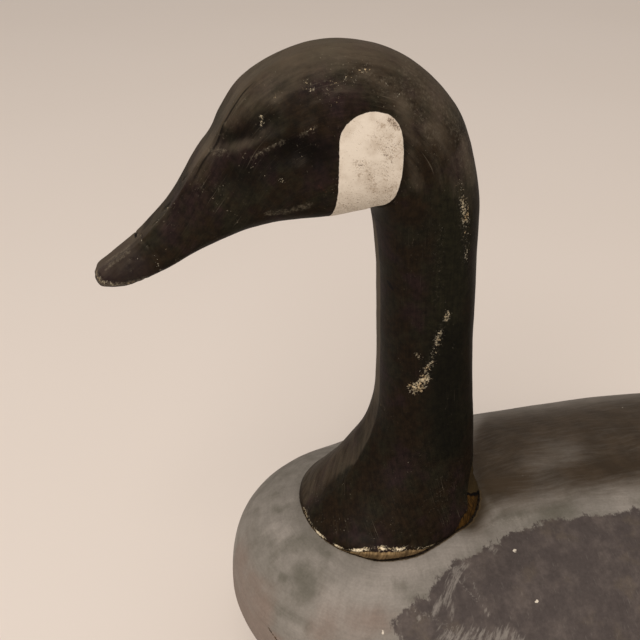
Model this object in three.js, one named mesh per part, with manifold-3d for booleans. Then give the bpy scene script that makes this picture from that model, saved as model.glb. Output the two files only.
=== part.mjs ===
// Carved and painted wooden goose decoy: a flat-bottomed body, and a head and neck
// carved as one piece, whose flared foot stands in a shallow seat on the body's back.
// Millimetres, +Z up. Each piece is shaped facing +X, with x = 0 and y = 0 on the neck's
// centre line and z = 0 on the flat underside. The whole is then turned to face -Y, with
// its origin under the middle of its box.
import * as THREE from "three";
import { mergeVertices } from "three/addons/utils/BufferGeometryUtils.js";
import Module from "manifold-3d";

const wasm = await Module();
wasm.setup();

// Body
const BREAST_X = 92; // foremost point of the breast
const TAIL_X = -508; // end of the tail
const BREAST_ROUND_X = -14; // the breast rounds in from here, seen from above
const BREAST_DROP_X = 30; // and its top rounds down from here
const KEEL_RISE_X = -18; // the underside lifts towards the breast from here
const TAIL_ROUND_X = -470; // the tail rounds in from here
const TAIL_RISE_X = -300; // the underside lifts towards the tail from here
const TAIL_EDGE_X = -512; // where that lift would reach the tail's edge
const BREAST_DROP_POWER = 2.5;
const KEEL_RISE_POWER = 1.5;
const TAIL_RISE_POWER = 1.3;
const FLANK_POWER = 1.7; // roundness of the flank below its widest line
const BODY_RINGS = 44;
const BODY_SIDE_STEPS = 10;
const BODY_END_ROOM = 0.35; // part of a ring's spacing left between the last ring and the tip

// Seat for the neck, and the flared foot that stands in it
const SEAT_Z = 141; // flat seat
const SEAT_DEPTH = 40; // height of the wood cut away over the seat
const SEAT_MARGIN = 0.6; // room round the foot
const GLUE_LINE = 0.3; // between the seat and the foot
const FOOT_Z = SEAT_Z + GLUE_LINE;
const FOOT_FRONT_X = 51.3;
const FOOT_BACK_X = -50.5;
const FOOT_HALF_WIDTH = 45;
const FOOT_TAPER = 0.8; // how far the foot draws in all round from its widest down to its underside
const FOOT_WIDEST_Z = 146;

// Head and neck
const HEAD_RINGS = 72;
const HEAD_SIDE_STEPS = 8;

// Body stations from tail to breast: x, half width, height of the back, height of the
// widest line, half width of the flat underside, and how square the shoulder is.
const BODY_STATIONS = [
  { x: TAIL_X, half: 44, top: 114, wide: 104, under: 30, square: 2.3 },
  { x: -440, half: 62, top: 119, wide: 97, under: 44, square: 2.2 },
  { x: -360, half: 90, top: 131, wide: 90, under: 62, square: 2.15 },
  { x: -260, half: 114, top: 144, wide: 85, under: 82, square: 2.1 },
  { x: -160, half: 122, top: 149.5, wide: 85, under: 90, square: 2.1 },
  { x: -90, half: 121, top: 149.5, wide: 85, under: 90, square: 2.1 },
  { x: -50, half: 118, top: 147.5, wide: 86, under: 86, square: 2.05 },
  { x: 0, half: 113, top: 147, wide: 87, under: 76, square: 2 },
  { x: 50, half: 102, top: 147, wide: 90, under: 52, square: 2 },
  { x: BREAST_X, half: 97, top: 147, wide: 91, under: 42, square: 2 },
];

// Head stations from the foot to the bill's tip. Each is a rib across the side outline:
// front (throat, jaw, bill's underside) and back (nape, crown, bill's top) as [x, z],
// half width, place of the widest point from front (0) to back (1), how square the front
// and back corners are, and half width of the flat strip along the back edge.
const HEAD_STATIONS = [
  { front: [FOOT_FRONT_X - FOOT_TAPER, FOOT_Z], back: [FOOT_BACK_X + FOOT_TAPER, FOOT_Z],
    half: FOOT_HALF_WIDTH - FOOT_TAPER, wide: 0.46, fs: 2.25, bs: 1.95, strip: 0 },
  { front: [FOOT_FRONT_X, FOOT_WIDEST_Z], back: [FOOT_BACK_X, FOOT_WIDEST_Z],
    half: FOOT_HALF_WIDTH, wide: 0.46, fs: 2.25, bs: 1.95, strip: 0 },
  { front: [50.5, 153], back: [-50.2, 152], half: 44.2, wide: 0.46, fs: 2.2, bs: 1.95, strip: 0 },
  { front: [39, 168], back: [-49, 166], half: 37, wide: 0.46, fs: 2.2, bs: 1.9, strip: 0 },
  { front: [21, 186.5], back: [-47.2, 186], half: 29.3, wide: 0.46, fs: 2.2, bs: 2, strip: 0 },
  { front: [11.5, 209], back: [-45, 208], half: 26, wide: 0.46, fs: 2.3, bs: 2.2, strip: 0 },
  { front: [9, 232], back: [-42.4, 230], half: 24.5, wide: 0.48, fs: 2.4, bs: 2.3, strip: 0 },
  { front: [9.8, 262], back: [-40.4, 262], half: 24, wide: 0.5, fs: 2.4, bs: 2.3, strip: 0 },
  { front: [11.4, 298], back: [-38.8, 300], half: 24, wide: 0.5, fs: 2.4, bs: 2.3, strip: 0 },
  { front: [14.6, 322], back: [-36.8, 338], half: 25, wide: 0.45, fs: 2.2, bs: 2.2, strip: 0 },
  { front: [18, 332.5], back: [-23.2, 377.5], half: 27, wide: 0.42, fs: 2.2, bs: 2.1, strip: 0 },
  { front: [25, 332], back: [4, 402.2], half: 28.5, wide: 0.4, fs: 2.4, bs: 2, strip: 0 },
  { front: [38, 330.2], back: [34, 409.4], half: 28.5, wide: 0.4, fs: 2.5, bs: 1.9, strip: 3 },
  { front: [54, 329.1], back: [60, 403.4], half: 26.5, wide: 0.42, fs: 2.4, bs: 1.65, strip: 6 },
  { front: [64, 328.8], back: [75.7, 393], half: 24.5, wide: 0.42, fs: 2.4, bs: 1.5, strip: 7 },
  { front: [72, 327.2], back: [84.7, 380.7], half: 22.5, wide: 0.42, fs: 2.3, bs: 1.4, strip: 7 },
  { front: [79, 325.5], back: [89.7, 371.7], half: 20.5, wide: 0.4, fs: 2.3, bs: 1.35, strip: 7 },
  { front: [89, 321.8], back: [98, 360.6], half: 18.2, wide: 0.38, fs: 2.3, bs: 1.35, strip: 7 },
  { front: [102, 316.4], back: [109.8, 342.3], half: 16, wide: 0.36, fs: 2.3, bs: 1.35, strip: 7 },
  { front: [116.7, 309], back: [126.3, 324.7], half: 14.5, wide: 0.36, fs: 2.3, bs: 1.4, strip: 7 },
  { front: [134, 302.8], back: [138.7, 315.6], half: 13, wide: 0.4, fs: 2.2, bs: 1.5, strip: 6 },
  { front: [145.3, 302.6], back: [146.6, 310], half: 9.5, wide: 0.45, fs: 2, bs: 1.7, strip: 4 },
  { front: [148, 304.3], back: [148.3, 308.3], half: 5, wide: 0.5, fs: 2, bs: 1.8, strip: 2 },
];

// Hollows carved into both sides of the head, each along a line of [x, z] points.
const BROW_HOLLOW = { line: [[91, 371], [82, 374], [75, 377.5], [67, 384]], radius: 5.5, depth: 1.6 };
const CHEEK_HOLLOW = { line: [[82, 359], [71, 365], [59, 368.5], [47, 367]], radius: 8, depth: 2.4 };

// Line cut round the bill: the station that it follows, and half its width in stations.
const BILL_LINE = { station: 19, halfWidth: 0.06, depth: 0.7 };

// The value of a named station field at x, by monotone cubic steps between stations.
function stationValue(stations, key, x) {
  const last = stations.length - 2;
  const beyond = stations.findIndex((s) => s.x > x);
  const k = beyond < 0 ? last : Math.max(beyond - 1, 0);
  const [a, b] = [stations[k], stations[k + 1]];
  const slope = (p, q) => (q[key] - p[key]) / (q.x - p.x);
  const here = slope(a, b);
  const limited = (m, n) => (m * n <= 0 ? 0 : (2 * m * n) / (m + n));
  const slopeA = k > 0 ? limited(slope(stations[k - 1], a), here) : here;
  const slopeB = k < last ? limited(here, slope(b, stations[k + 2])) : here;
  const span = b.x - a.x;
  const t = (x - a.x) / span;
  return (
    a[key] * (1 + 2 * t) * (1 - t) ** 2 +
    slopeA * span * t * (1 - t) ** 2 +
    b[key] * t * t * (3 - 2 * t) +
    slopeB * span * t * t * (t - 1)
  );
}

// A quarter round that falls from 1 at `from` to 0 at `to`.
function quarterRound(x, from, to, power = 2) {
  const t = THREE.MathUtils.clamp((x - from) / (to - from), 0, 1);
  return (1 - t ** power) ** (1 / power);
}

// A sine or cosine bent so that its quarter turn is an arc of the given squareness.
const bend = (value, square) => Math.max(value, 0) ** (2 / square);

// A closed mesh over rings of equal count, with each end closed by a fan.
function loft(rings) {
  const count = rings[0].length;
  const last = rings.length - 1;
  const points = rings.flat();
  const faces = [];
  const at = (i, j) => i * count + (j % count);
  for (let i = 0; i < last; i += 1) {
    for (let j = 0; j < count; j += 1) {
      faces.push(at(i, j), at(i + 1, j), at(i + 1, j + 1));
      faces.push(at(i, j), at(i + 1, j + 1), at(i, j + 1));
    }
  }
  for (const row of [0, last]) {
    const hub = points.length;
    points.push(rings[row].reduce((sum, p) => sum.add(p), new THREE.Vector3()).divideScalar(count));
    for (let j = 0; j < count; j += 1) {
      if (row === 0) faces.push(hub, at(row, j), at(row, j + 1));
      else faces.push(hub, at(row, j + 1), at(row, j));
    }
  }
  return new THREE.BufferGeometry().setFromPoints(points).setIndex(faces);
}

// A geometry as a manifold solid, with what touches merged.
function toSolid(geometry) {
  const merged = mergeVertices(geometry, 1e-4);
  return new wasm.Manifold(
    new wasm.Mesh({
      numProp: 3,
      vertProperties: merged.attributes.position.array,
      triVerts: new Uint32Array(merged.index.array),
    }),
  );
}

// A manifold solid as a named mesh.
function toMesh(name, solid, material) {
  const { vertProperties, triVerts } = solid.getMesh();
  const geometry = new THREE.BufferGeometry();
  geometry.setAttribute("position", new THREE.BufferAttribute(vertProperties, 3));
  geometry.setIndex(new THREE.BufferAttribute(triVerts, 1));
  const mesh = new THREE.Mesh(geometry, material);
  mesh.name = name;
  return mesh;
}

// One cross-section of the body at x, from the middle of the back down its left side,
// across the underside and up the right side.
function bodyRing(x) {
  const read = (key) => stationValue(BODY_STATIONS, key, x);
  const plan = Math.min(
    quarterRound(x, BREAST_ROUND_X, BREAST_X),
    quarterRound(x, TAIL_ROUND_X, TAIL_X),
  );
  const drop = Math.min(
    quarterRound(x, BREAST_DROP_X, BREAST_X, BREAST_DROP_POWER),
    quarterRound(x, TAIL_ROUND_X, TAIL_X),
  );
  const keel = quarterRound(x, KEEL_RISE_X, BREAST_X, KEEL_RISE_POWER);
  const stern = quarterRound(x, TAIL_RISE_X, TAIL_EDGE_X, TAIL_RISE_POWER);
  const wide = read("wide");
  const square = read("square");
  const half = read("half") * plan;
  const rise = (read("top") - wide) * drop;
  const fall = wide * Math.min(keel, stern);
  const under = read("under") * plan * keel;
  const side = [];
  for (let j = 0; j < BODY_SIDE_STEPS; j += 1) {
    const turn = ((j / BODY_SIDE_STEPS) * Math.PI) / 2;
    side.push([half * bend(Math.sin(turn), square), wide + rise * bend(Math.cos(turn), square)]);
  }
  for (let j = 0; j <= BODY_SIDE_STEPS; j += 1) {
    const turn = ((j / BODY_SIDE_STEPS) * Math.PI) / 2;
    side.push([
      under + (half - under) * bend(Math.cos(turn), FLANK_POWER),
      wide - fall * bend(Math.sin(turn), FLANK_POWER),
    ]);
  }
  side.push([under / 2, wide - fall]);
  const left = side.map(([y, z]) => new THREE.Vector3(x, y, z));
  const right = side.slice(1).map(([y, z]) => new THREE.Vector3(x, -y, z));
  return [...left, new THREE.Vector3(x, 0, wide - fall), ...right.reverse()];
}

// Rings from tail to breast, bunched towards both ends, where the body rounds in.
function bodyRings() {
  const rings = [];
  for (let i = 0; i <= BODY_RINGS; i += 1) {
    const turn = ((i + BODY_END_ROOM) / (BODY_RINGS + 2 * BODY_END_ROOM)) * Math.PI;
    const part = (1 - Math.cos(turn)) / 2;
    rings.push(bodyRing(THREE.MathUtils.lerp(TAIL_X, BREAST_X, part)));
  }
  return rings;
}

// The wood cut away to leave the flat seat, in the outline of the foot's underside made
// large enough to clear its widest part.
function seatCut(footRing) {
  const middle = (FOOT_FRONT_X + FOOT_BACK_X) / 2;
  const room = (FOOT_HALF_WIDTH + SEAT_MARGIN) / (FOOT_HALF_WIDTH - FOOT_TAPER);
  const outline = footRing.map((p) => new THREE.Vector2(middle + (p.x - middle) * room, p.y * room));
  const block = new THREE.ExtrudeGeometry(new THREE.Shape(outline), {
    depth: SEAT_DEPTH,
    bevelEnabled: false,
  });
  block.deleteAttribute("normal");
  block.deleteAttribute("uv");
  return block.translate(0, 0, SEAT_Z);
}

// Smooth curves through the head stations, each of up to three of their values.
function headCurves() {
  const curve = (read) =>
    new THREE.CatmullRomCurve3(
      HEAD_STATIONS.map((s) => new THREE.Vector3(...read(s))),
      false,
      "centripetal",
    );
  return {
    front: curve((s) => [s.front[0], 0, s.front[1]]),
    back: curve((s) => [s.back[0], 0, s.back[1]]),
    width: curve((s) => [s.half, s.strip, 0]),
    shape: curve((s) => [s.wide, s.fs, s.bs]),
  };
}

// How deep the carved hollows are at a point of the head's side.
function hollowDepth(point) {
  const spot = new THREE.Vector3(point.x, 0, point.z);
  const nearest = new THREE.Vector3();
  let deepest = 0;
  for (const { line, radius, depth } of [BROW_HOLLOW, CHEEK_HOLLOW]) {
    const ends = line.map(([x, z]) => new THREE.Vector3(x, 0, z));
    for (let i = 0; i + 1 < ends.length; i += 1) {
      new THREE.Line3(ends[i], ends[i + 1]).closestPointToPoint(spot, true, nearest);
      const away = nearest.distanceTo(spot) / radius;
      deepest = Math.max(deepest, depth * Math.exp(-away * away));
    }
  }
  return deepest;
}

// One rib of the neck or head at t, from 0 at the foot to 1 at the bill's tip. It runs
// from the middle of the back edge down the left side and up the right side.
function headRing(curves, t, pinch = 0) {
  const front = curves.front.getPoint(t);
  const rib = curves.back.getPoint(t).sub(front);
  const { x: half, y: strip } = curves.width.getPoint(t);
  const { x: wide, y: fs, z: bs } = curves.shape.getPoint(t);
  const flat = Math.max(strip, 0);
  const side = [];
  for (let j = 0; j <= HEAD_SIDE_STEPS; j += 1) {
    const turn = ((j / HEAD_SIDE_STEPS) * Math.PI) / 2;
    side.push([
      flat + (half - flat) * bend(Math.sin(turn), bs),
      wide + (1 - wide) * bend(Math.cos(turn), bs),
    ]);
  }
  for (let j = 1; j < HEAD_SIDE_STEPS; j += 1) {
    const turn = ((j / HEAD_SIDE_STEPS) * Math.PI) / 2;
    side.push([half * bend(Math.cos(turn), fs), wide * (1 - bend(Math.sin(turn), fs))]);
  }
  const inset = pinch / rib.length();
  const put = (across, up) => {
    const spot = front.clone().addScaledVector(rib, THREE.MathUtils.lerp(inset, 1 - inset, up));
    const out = Math.max(across - pinch, 0);
    return spot.setY(out - hollowDepth(spot) * Math.min(out / half, 1));
  };
  const left = side.map(([across, up]) => put(across, up));
  const right = left.map((p) => p.clone().setY(-p.y));
  return [put(0, 1), ...left, put(0, 0), ...right.reverse()];
}

// Rings from the foot to the bill's tip, with a narrow one that cuts the bill's line.
function headRings() {
  const count = HEAD_STATIONS.length - 1;
  const cut = BILL_LINE.station / count;
  const edge = BILL_LINE.halfWidth / count;
  const places = [];
  for (let i = 0; i <= HEAD_RINGS; i += 1) {
    const t = i / HEAD_RINGS;
    if (Math.abs(t - cut) > 2 * edge) places.push([t, 0]);
  }
  places.push([cut - edge, 0], [cut, BILL_LINE.depth], [cut + edge, 0]);
  places.sort((a, b) => a[0] - b[0]);
  const curves = headCurves();
  return places.map(([t, pinch]) => headRing(curves, t, pinch));
}

const greyPaint = new THREE.MeshStandardMaterial({ color: 0x6d6a62, roughness: 0.62, metalness: 0 });
const blackPaint = new THREE.MeshStandardMaterial({ color: 0x1c1815, roughness: 0.5, metalness: 0 });

const ribs = headRings();
const headSolid = toSolid(loft(ribs));
const bodySolid = toSolid(loft(bodyRings())).subtract(toSolid(seatCut(ribs[0])));

const decoy = new THREE.Group();
decoy.add(toMesh("body", bodySolid, greyPaint));
decoy.add(toMesh("head_and_neck", headSolid, blackPaint));
decoy.rotation.z = -Math.PI / 2;
const centre = new THREE.Box3().setFromObject(decoy).getCenter(new THREE.Vector3());
decoy.position.set(-centre.x, -centre.y, 0);

export default decoy;
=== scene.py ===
"""The looks of a carved and painted wooden goose decoy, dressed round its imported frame.

Sizes are in millimetres in the decoy's own axes: x forward and y left of the neck's centre
line, z up from the flat underside. They become metres of the frame when a mesh is made.
"""
import logging
import math
from dataclasses import dataclass, replace
from enum import Enum

import bpy
import numpy as np
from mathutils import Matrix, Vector, noise


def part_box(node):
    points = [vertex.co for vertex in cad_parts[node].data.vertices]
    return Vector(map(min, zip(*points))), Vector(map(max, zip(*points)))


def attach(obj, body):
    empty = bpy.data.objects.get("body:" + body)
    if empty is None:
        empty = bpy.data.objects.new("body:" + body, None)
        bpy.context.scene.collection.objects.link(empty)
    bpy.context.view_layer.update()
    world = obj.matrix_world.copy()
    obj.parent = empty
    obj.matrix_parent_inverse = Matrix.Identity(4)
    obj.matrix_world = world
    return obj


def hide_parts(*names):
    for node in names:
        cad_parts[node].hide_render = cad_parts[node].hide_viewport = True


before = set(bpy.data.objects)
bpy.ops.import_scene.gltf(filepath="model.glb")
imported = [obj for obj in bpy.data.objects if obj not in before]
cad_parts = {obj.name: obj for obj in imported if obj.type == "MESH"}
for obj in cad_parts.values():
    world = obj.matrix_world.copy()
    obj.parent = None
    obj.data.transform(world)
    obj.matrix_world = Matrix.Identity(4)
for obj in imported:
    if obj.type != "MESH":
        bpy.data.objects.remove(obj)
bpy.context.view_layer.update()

LOG = logging.getLogger("decoy")
MM = 0.001
TINY = 1e-9
# The two axes that are seen from the side and from the front.
SIDE_PLANE = [0, 2]
FRONT_PLANE = [1, 2]
Points = np.ndarray
Line = tuple[tuple[float, float], ...]
Socket = bpy.types.NodeSocket


def smooth_step(value: Points, low: float, high: float) -> Points:
    """A smooth rise from 0 at low to 1 at high.

    Args:
        value: Numbers to grade.
        low: Where the rise starts.
        high: Where it ends, above or below low.

    Returns:
        The graded numbers.
    """
    part = np.clip((value - low) / (high - low), 0.0, 1.0)
    return part * part * (3.0 - 2.0 * part)


def bend(value: Points, square: Points | float) -> Points:
    """A sine or cosine bent so that its quarter turn is an arc of the given squareness.

    Args:
        value: The sine or cosine.
        square: 2 for an ellipse, more for a squarer corner.

    Returns:
        The bent numbers.
    """
    return np.maximum(value, 0.0) ** (2.0 / square)


def quarter_round(x: Points, start: float, end: float, power: float = 2.0) -> Points:
    """A quarter round that falls from 1 at start to 0 at end.

    Args:
        x: Places along the decoy.
        start: Where the fall starts.
        end: Where it reaches 0.
        power: 2 for an ellipse, more for a fuller corner.

    Returns:
        The height of the round at each place.
    """
    part = np.clip((x - start) / (end - start), 0.0, 1.0)
    return np.maximum(1.0 - part**power, 0.0) ** (1.0 / power)


def monotone(places: Points, values: Points, x: Points) -> Points:
    """Values between stations by cubic steps that never overshoot.

    Args:
        places: The stations, in rising order.
        values: The value at each station.
        x: Where values are wanted.

    Returns:
        The value at each x.
    """
    slopes = np.diff(values) / np.diff(places)
    inner = np.where(
        slopes[:-1] * slopes[1:] > 0,
        2 * slopes[:-1] * slopes[1:] / np.where(slopes[:-1] + slopes[1:] == 0, 1, slopes[:-1] + slopes[1:]),
        0.0,
    )
    tangents = np.concatenate([slopes[:1], inner, slopes[-1:]])
    k = np.clip(np.searchsorted(places, x, side="right") - 1, 0, len(places) - 2)
    span = places[k + 1] - places[k]
    t = (x - places[k]) / span
    return (
        values[k] * (1 + 2 * t) * (1 - t) ** 2
        + tangents[k] * span * t * (1 - t) ** 2
        + values[k + 1] * t * t * (3 - 2 * t)
        + tangents[k + 1] * span * t * t * (t - 1)
    )


def centripetal(knots: Points, steps: Points) -> Points:
    """Points on a centripetal curve through knots.

    Args:
        knots: One row for each knot.
        steps: Where points are wanted, counted in knots from 0.

    Returns:
        One row for each step.
    """
    padded = np.vstack([2 * knots[0] - knots[1], knots, 2 * knots[-1] - knots[-2]])
    index = np.clip(steps.astype(int), 0, len(knots) - 2)
    t = (steps - index)[:, None]
    p0, p1, p2, p3 = (padded[index + k] for k in range(4))
    same = 1e-4
    d0, d1, d2 = (np.sqrt(np.linalg.norm(b - a, axis=1))[:, None] for a, b in ((p0, p1), (p1, p2), (p2, p3)))
    d1 = np.where(d1 < same, 1.0, d1)
    d0 = np.where(d0 < same, d1, d0)
    d2 = np.where(d2 < same, d1, d2)
    m1 = d1 * ((p1 - p0) / d0 - (p2 - p0) / (d0 + d1) + (p2 - p1) / d1)
    m2 = d1 * ((p2 - p1) / d1 - (p3 - p1) / (d1 + d2) + (p3 - p2) / d2)
    return (
        p1 + m1 * t
        + (-3 * p1 + 3 * p2 - 2 * m1 - m2) * t**2
        + (2 * p1 - 2 * p2 + m1 + m2) * t**3
    )


def bell(value: Points) -> Points:
    """A soft bell, 1 at 0 and next to nothing past 2."""
    return np.exp(-value * value)


def read_line(line: Line, value: Points) -> Points:
    """The second number of a line's points, read off at values of the first."""
    return np.interp(value, *zip(*line))


def line_distance(spots: Points, line: Line) -> Points:
    """Distance in a plane from spots to a line of points.

    Args:
        spots: One row of two numbers for each spot.
        line: The line's points. A single point is a dot.

    Returns:
        The distance for each spot.
    """
    knots = np.array(line if len(line) > 1 else (line[0], line[0]), float)
    nearest = np.full(len(spots), np.inf)
    for a, b in zip(knots[:-1], knots[1:]):
        run = b - a
        part = np.clip((spots - a) @ run / max(run @ run, TINY), 0.0, 1.0)
        nearest = np.minimum(nearest, np.linalg.norm(spots - a - part[:, None] * run, axis=1))
    return nearest


def outline_depth(spots: Points, outline: Line) -> Points:
    """How far spots lie inside a closed outline, negative outside it.

    Args:
        spots: One row of two numbers for each spot.
        outline: The corners, in order.

    Returns:
        The signed distance for each spot.
    """
    corners = np.array(outline, float)
    inside = np.zeros(len(spots), bool)
    for (ax, ay), (bx, by) in zip(corners, np.roll(corners, -1, axis=0)):
        crosses = (ay > spots[:, 1]) != (by > spots[:, 1])
        reach = ax + (spots[:, 1] - ay) * (bx - ax) / (by - ay if by != ay else 1.0)
        inside ^= crosses & (spots[:, 0] < reach)
    distance = line_distance(spots, tuple(outline) + (outline[0],))
    return np.where(inside, distance, -distance)


def rounded(outline: Line, per_corner: int = 6) -> Line:
    """A closed outline drawn as one smooth curve through its corners.

    Args:
        outline: The corners, in order.
        per_corner: How many points the curve has for each corner.

    Returns:
        The curve's points.
    """
    corners = np.array(outline, float)
    count = len(corners)
    wrapped = np.vstack([corners[-2:], corners, corners[:3]])
    steps = np.linspace(2, 2 + count, count * per_corner, endpoint=False)
    return tuple(map(tuple, centripetal(wrapped, steps)))


class Face(Enum):
    """The side that a worn place is drawn on, as the two axes of its line and its outer side."""

    LEFT = (0, 2, 1, 1.0)
    RIGHT = (0, 2, 1, -1.0)
    TOP = (0, 1, 2, 0.0)


class Wear(Enum):
    """What a worn or tinted place shows, or where painted shade, highlight or reflection lies. Each value
    names the mesh attribute that holds it.
    """

    CHIPS = "chips"
    SCUFFS = "scuffs"
    PITS = "pits"
    RUST = "rust"
    PALE = "pale"
    SHADE = "shade"
    ROSE = "rose"


@dataclass(frozen=True)
class Levels:
    """Two levels between which numbers rise smoothly, from 0 at low to top at high."""

    low: float
    high: float
    top: float = 1.0

    def at(self, value: Points) -> Points:
        """The height of the rise at each number."""
        return self.top * smooth_step(value, self.low, self.high)


@dataclass(frozen=True)
class Band:
    """A smooth rise to top between two levels, and the fall after it."""

    rise: tuple[float, float]
    fall: tuple[float, float]
    top: float = 1.0

    def at(self, value: Points) -> Points:
        """The band's height at each number."""
        return self.top * smooth_step(value, *self.rise) * smooth_step(value, *self.fall)


@dataclass(frozen=True)
class Ripples:
    """Smooth noise in space: millimetres from bump to bump, a seed, its finer layers and its height."""

    size: float
    seed: int
    octaves: int = 3
    height: float = 1.0
    shift: float = 17.3
    roughness: float = 1.0
    finer: float = 2.0

    def at(self, points: Points) -> Points:
        """The noise at each point, from about -height to height.

        Args:
            points: One row for each point.

        Returns:
            One number for each point.
        """
        shifted = points.reshape(-1, 3) / self.size + self.shift * self.seed
        found = [noise.fractal(p, self.roughness, self.finer, self.octaves) for p in shifted.tolist()]
        return self.height * np.array(found).reshape(points.shape[:-1])


@dataclass(frozen=True)
class Spot:
    """A soft place along a line in a plane, at its full strength on the line."""

    reach: float
    strength: float
    line: Line

    def at(self, spots: Points) -> Points:
        """The place's strength at each row of two numbers."""
        return self.strength * bell(line_distance(spots, self.line) / self.reach)


@dataclass(frozen=True)
class Mark:
    """A worn or tinted place on one face, or a place of painted shade, highlight or reflection."""

    wear: Wear
    face: Face
    spot: Spot

    def cover(self, points: Points) -> Points:
        """How strongly the mark lies on each point.

        Args:
            points: One row for each point, in the decoy's axes.

        Returns:
            Numbers from 0 to the mark's strength.
        """
        across, up, side, sign = self.face.value
        cover = self.spot.at(points[:, [across, up]])
        return cover if sign == 0.0 else cover * (points[:, side] * sign > 0)


def spot_rows(*rows: tuple) -> tuple[Spot, ...]:
    """Soft places, from rows of a reach, a strength and the line's points."""
    return tuple(Spot(reach, strength, tuple(line)) for reach, strength, *line in rows)


def mark_rows(wear: Wear, face: Face, *rows: tuple) -> tuple[Mark, ...]:
    """Worn, tinted or painted-light places of one kind on one face, from rows of a reach, a strength and the
    line's points.
    """
    return tuple(Mark(wear, face, spot) for spot in spot_rows(*rows))


def wear_fields(marks: tuple[Mark, ...], points: Points) -> dict[str, Points]:
    """The cover of every kind of wear, tint and painted light or shade on points.

    Args:
        marks: The worn places.
        points: One row for each point, in the decoy's axes.

    Returns:
        One field for each kind of wear.
    """
    fields = {wear.value: np.zeros(len(points)) for wear in Wear}
    for mark in marks:
        name = mark.wear.value
        fields[name] = np.maximum(fields[name], mark.cover(points))
    return fields


@dataclass(frozen=True)
class Placement:
    """Where the decoy's own axes lie in the frame, which it faces along -Y."""

    neck_y: float

    @classmethod
    def from_frame(cls, tail_x: float) -> "Placement":
        """The placement that puts the tail's end at the far end of the body's node."""
        return cls(neck_y=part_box("body")[1].y + tail_x * MM)

    def to_frame(self, points: Points) -> Points:
        """Metres in the frame, from millimetres in the decoy's axes."""
        x, y, z = np.moveaxis(points, -1, 0) * MM
        return np.stack([y, self.neck_y - x, z], axis=-1)

    def to_decoy(self, points: Points) -> Points:
        """Millimetres in the decoy's axes, from metres in the frame."""
        x, y, z = np.moveaxis(points, -1, 0)
        return np.stack([self.neck_y - y, x, z], axis=-1) / MM


def grid_normals(rings: Points) -> Points:
    """Outward directions on a closed stack of rings.

    Args:
        rings: Points as rings by columns by 3.

    Returns:
        A unit direction for each point.
    """
    along = np.gradient(rings, axis=0)
    around = np.roll(rings, -1, axis=1) - np.roll(rings, 1, axis=1)
    normals = np.cross(along, around)
    return normals / np.maximum(np.linalg.norm(normals, axis=-1, keepdims=True), TINY)


def spaced(places: Points, points: Points, spacing: Points) -> Points:
    """Places picked so that the steps between them have the spacing that is asked for.

    Args:
        places: Fine places along a run, in order.
        points: The run's point at each place.
        spacing: The step that is wanted at each place.

    Returns:
        The picked places, with both ends.
    """
    steps = np.linalg.norm(np.diff(points, axis=0), axis=1) / spacing[1:]
    reached = np.concatenate([[0.0], np.cumsum(steps)])
    return np.interp(np.linspace(0, reached[-1], round(reached[-1])), reached, places)


def spread_columns(halves: Points, weights: Points, columns: int) -> Points:
    """Rings whose points are evenly spread, from the left halves of their sections.

    Args:
        halves: Left half sections, as rings by points by 3, from the back's middle to the front's.
        weights: How closely columns stand on each stretch between two points.
        columns: How many steps the half section gets.

    Returns:
        Whole rings, as rings by twice the columns by 3.
    """
    steps = np.linalg.norm(np.diff(halves, axis=1), axis=2) * weights
    reached = np.concatenate([np.zeros((len(halves), 1)), np.cumsum(steps, axis=1)], axis=1)
    left = np.empty((len(halves), columns + 1, 3))
    for row, (run, half) in enumerate(zip(reached, halves)):
        wanted = np.linspace(0, run[-1], columns + 1)
        for axis in range(3):
            left[row, :, axis] = np.interp(wanted, run, half[:, axis])
    right = left[:, -2:0:-1] * np.array([1.0, -1.0, 1.0])
    return np.concatenate([left, right], axis=1)


def closed_mesh(name: str, rings: Points) -> bpy.types.Mesh:
    """A smooth closed mesh over rings, with a fan at each end.

    Args:
        name: The mesh's name.
        rings: Points in the frame, as rings by columns by 3.

    Returns:
        The mesh.
    """
    count, columns, _ = rings.shape
    index = np.arange(count * columns).reshape(count, columns)
    turned = np.roll(index, -1, axis=1)
    quads = np.stack([index[:-1], index[1:], turned[1:], turned[:-1]], axis=-1).reshape(-1, 4)
    hubs = rings[[0, -1]].mean(axis=1)
    first, last = count * columns, count * columns + 1
    fans = [(first, a, b) for a, b in zip(index[0].tolist(), turned[0].tolist())]
    fans += [(last, b, a) for a, b in zip(index[-1].tolist(), turned[-1].tolist())]
    mesh = bpy.data.meshes.new(name)
    mesh.from_pydata(np.vstack([rings.reshape(-1, 3), hubs]).tolist(), [], quads.tolist() + fans)
    mesh.update()
    mesh.shade_smooth()
    return mesh


def linked(name: str, mesh: bpy.types.Mesh) -> bpy.types.Object:
    """A new object for the mesh, in the scene.

    Args:
        name: The object's name.
        mesh: Its mesh.

    Returns:
        The object.
    """
    made = bpy.data.objects.new(name, mesh)
    bpy.context.scene.collection.objects.link(made)
    return made


def vertex_points(mesh: bpy.types.Mesh) -> Points:
    """The mesh's points, one row for each.

    Args:
        mesh: The mesh.

    Returns:
        Rows of three numbers, in the mesh's own units.
    """
    found = np.empty(len(mesh.vertices) * 3, np.float32)
    mesh.vertices.foreach_get("co", found)
    return found.reshape(-1, 3).astype(float)


def vertex_normals(mesh: bpy.types.Mesh) -> Points:
    """The mesh's outward directions, one row for each point.

    Args:
        mesh: The mesh.

    Returns:
        Rows of unit directions.
    """
    found = np.empty(len(mesh.vertices) * 3, np.float32)
    mesh.vertex_normals.foreach_get("vector", found)
    return found.reshape(-1, 3).astype(float)


def store(mesh: bpy.types.Mesh, fields: dict[str, Points]) -> None:
    """Writes fields onto the mesh's points, for its material to read.

    Args:
        mesh: The mesh.
        fields: One row or number for each point, by attribute name.
    """
    for name, values in fields.items():
        flat = values.ndim == 1
        layer = mesh.attributes.new(name, "FLOAT" if flat else "FLOAT_VECTOR", "POINT")
        layer.data.foreach_set("value" if flat else "vector", values.astype(np.float32).ravel())


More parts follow.
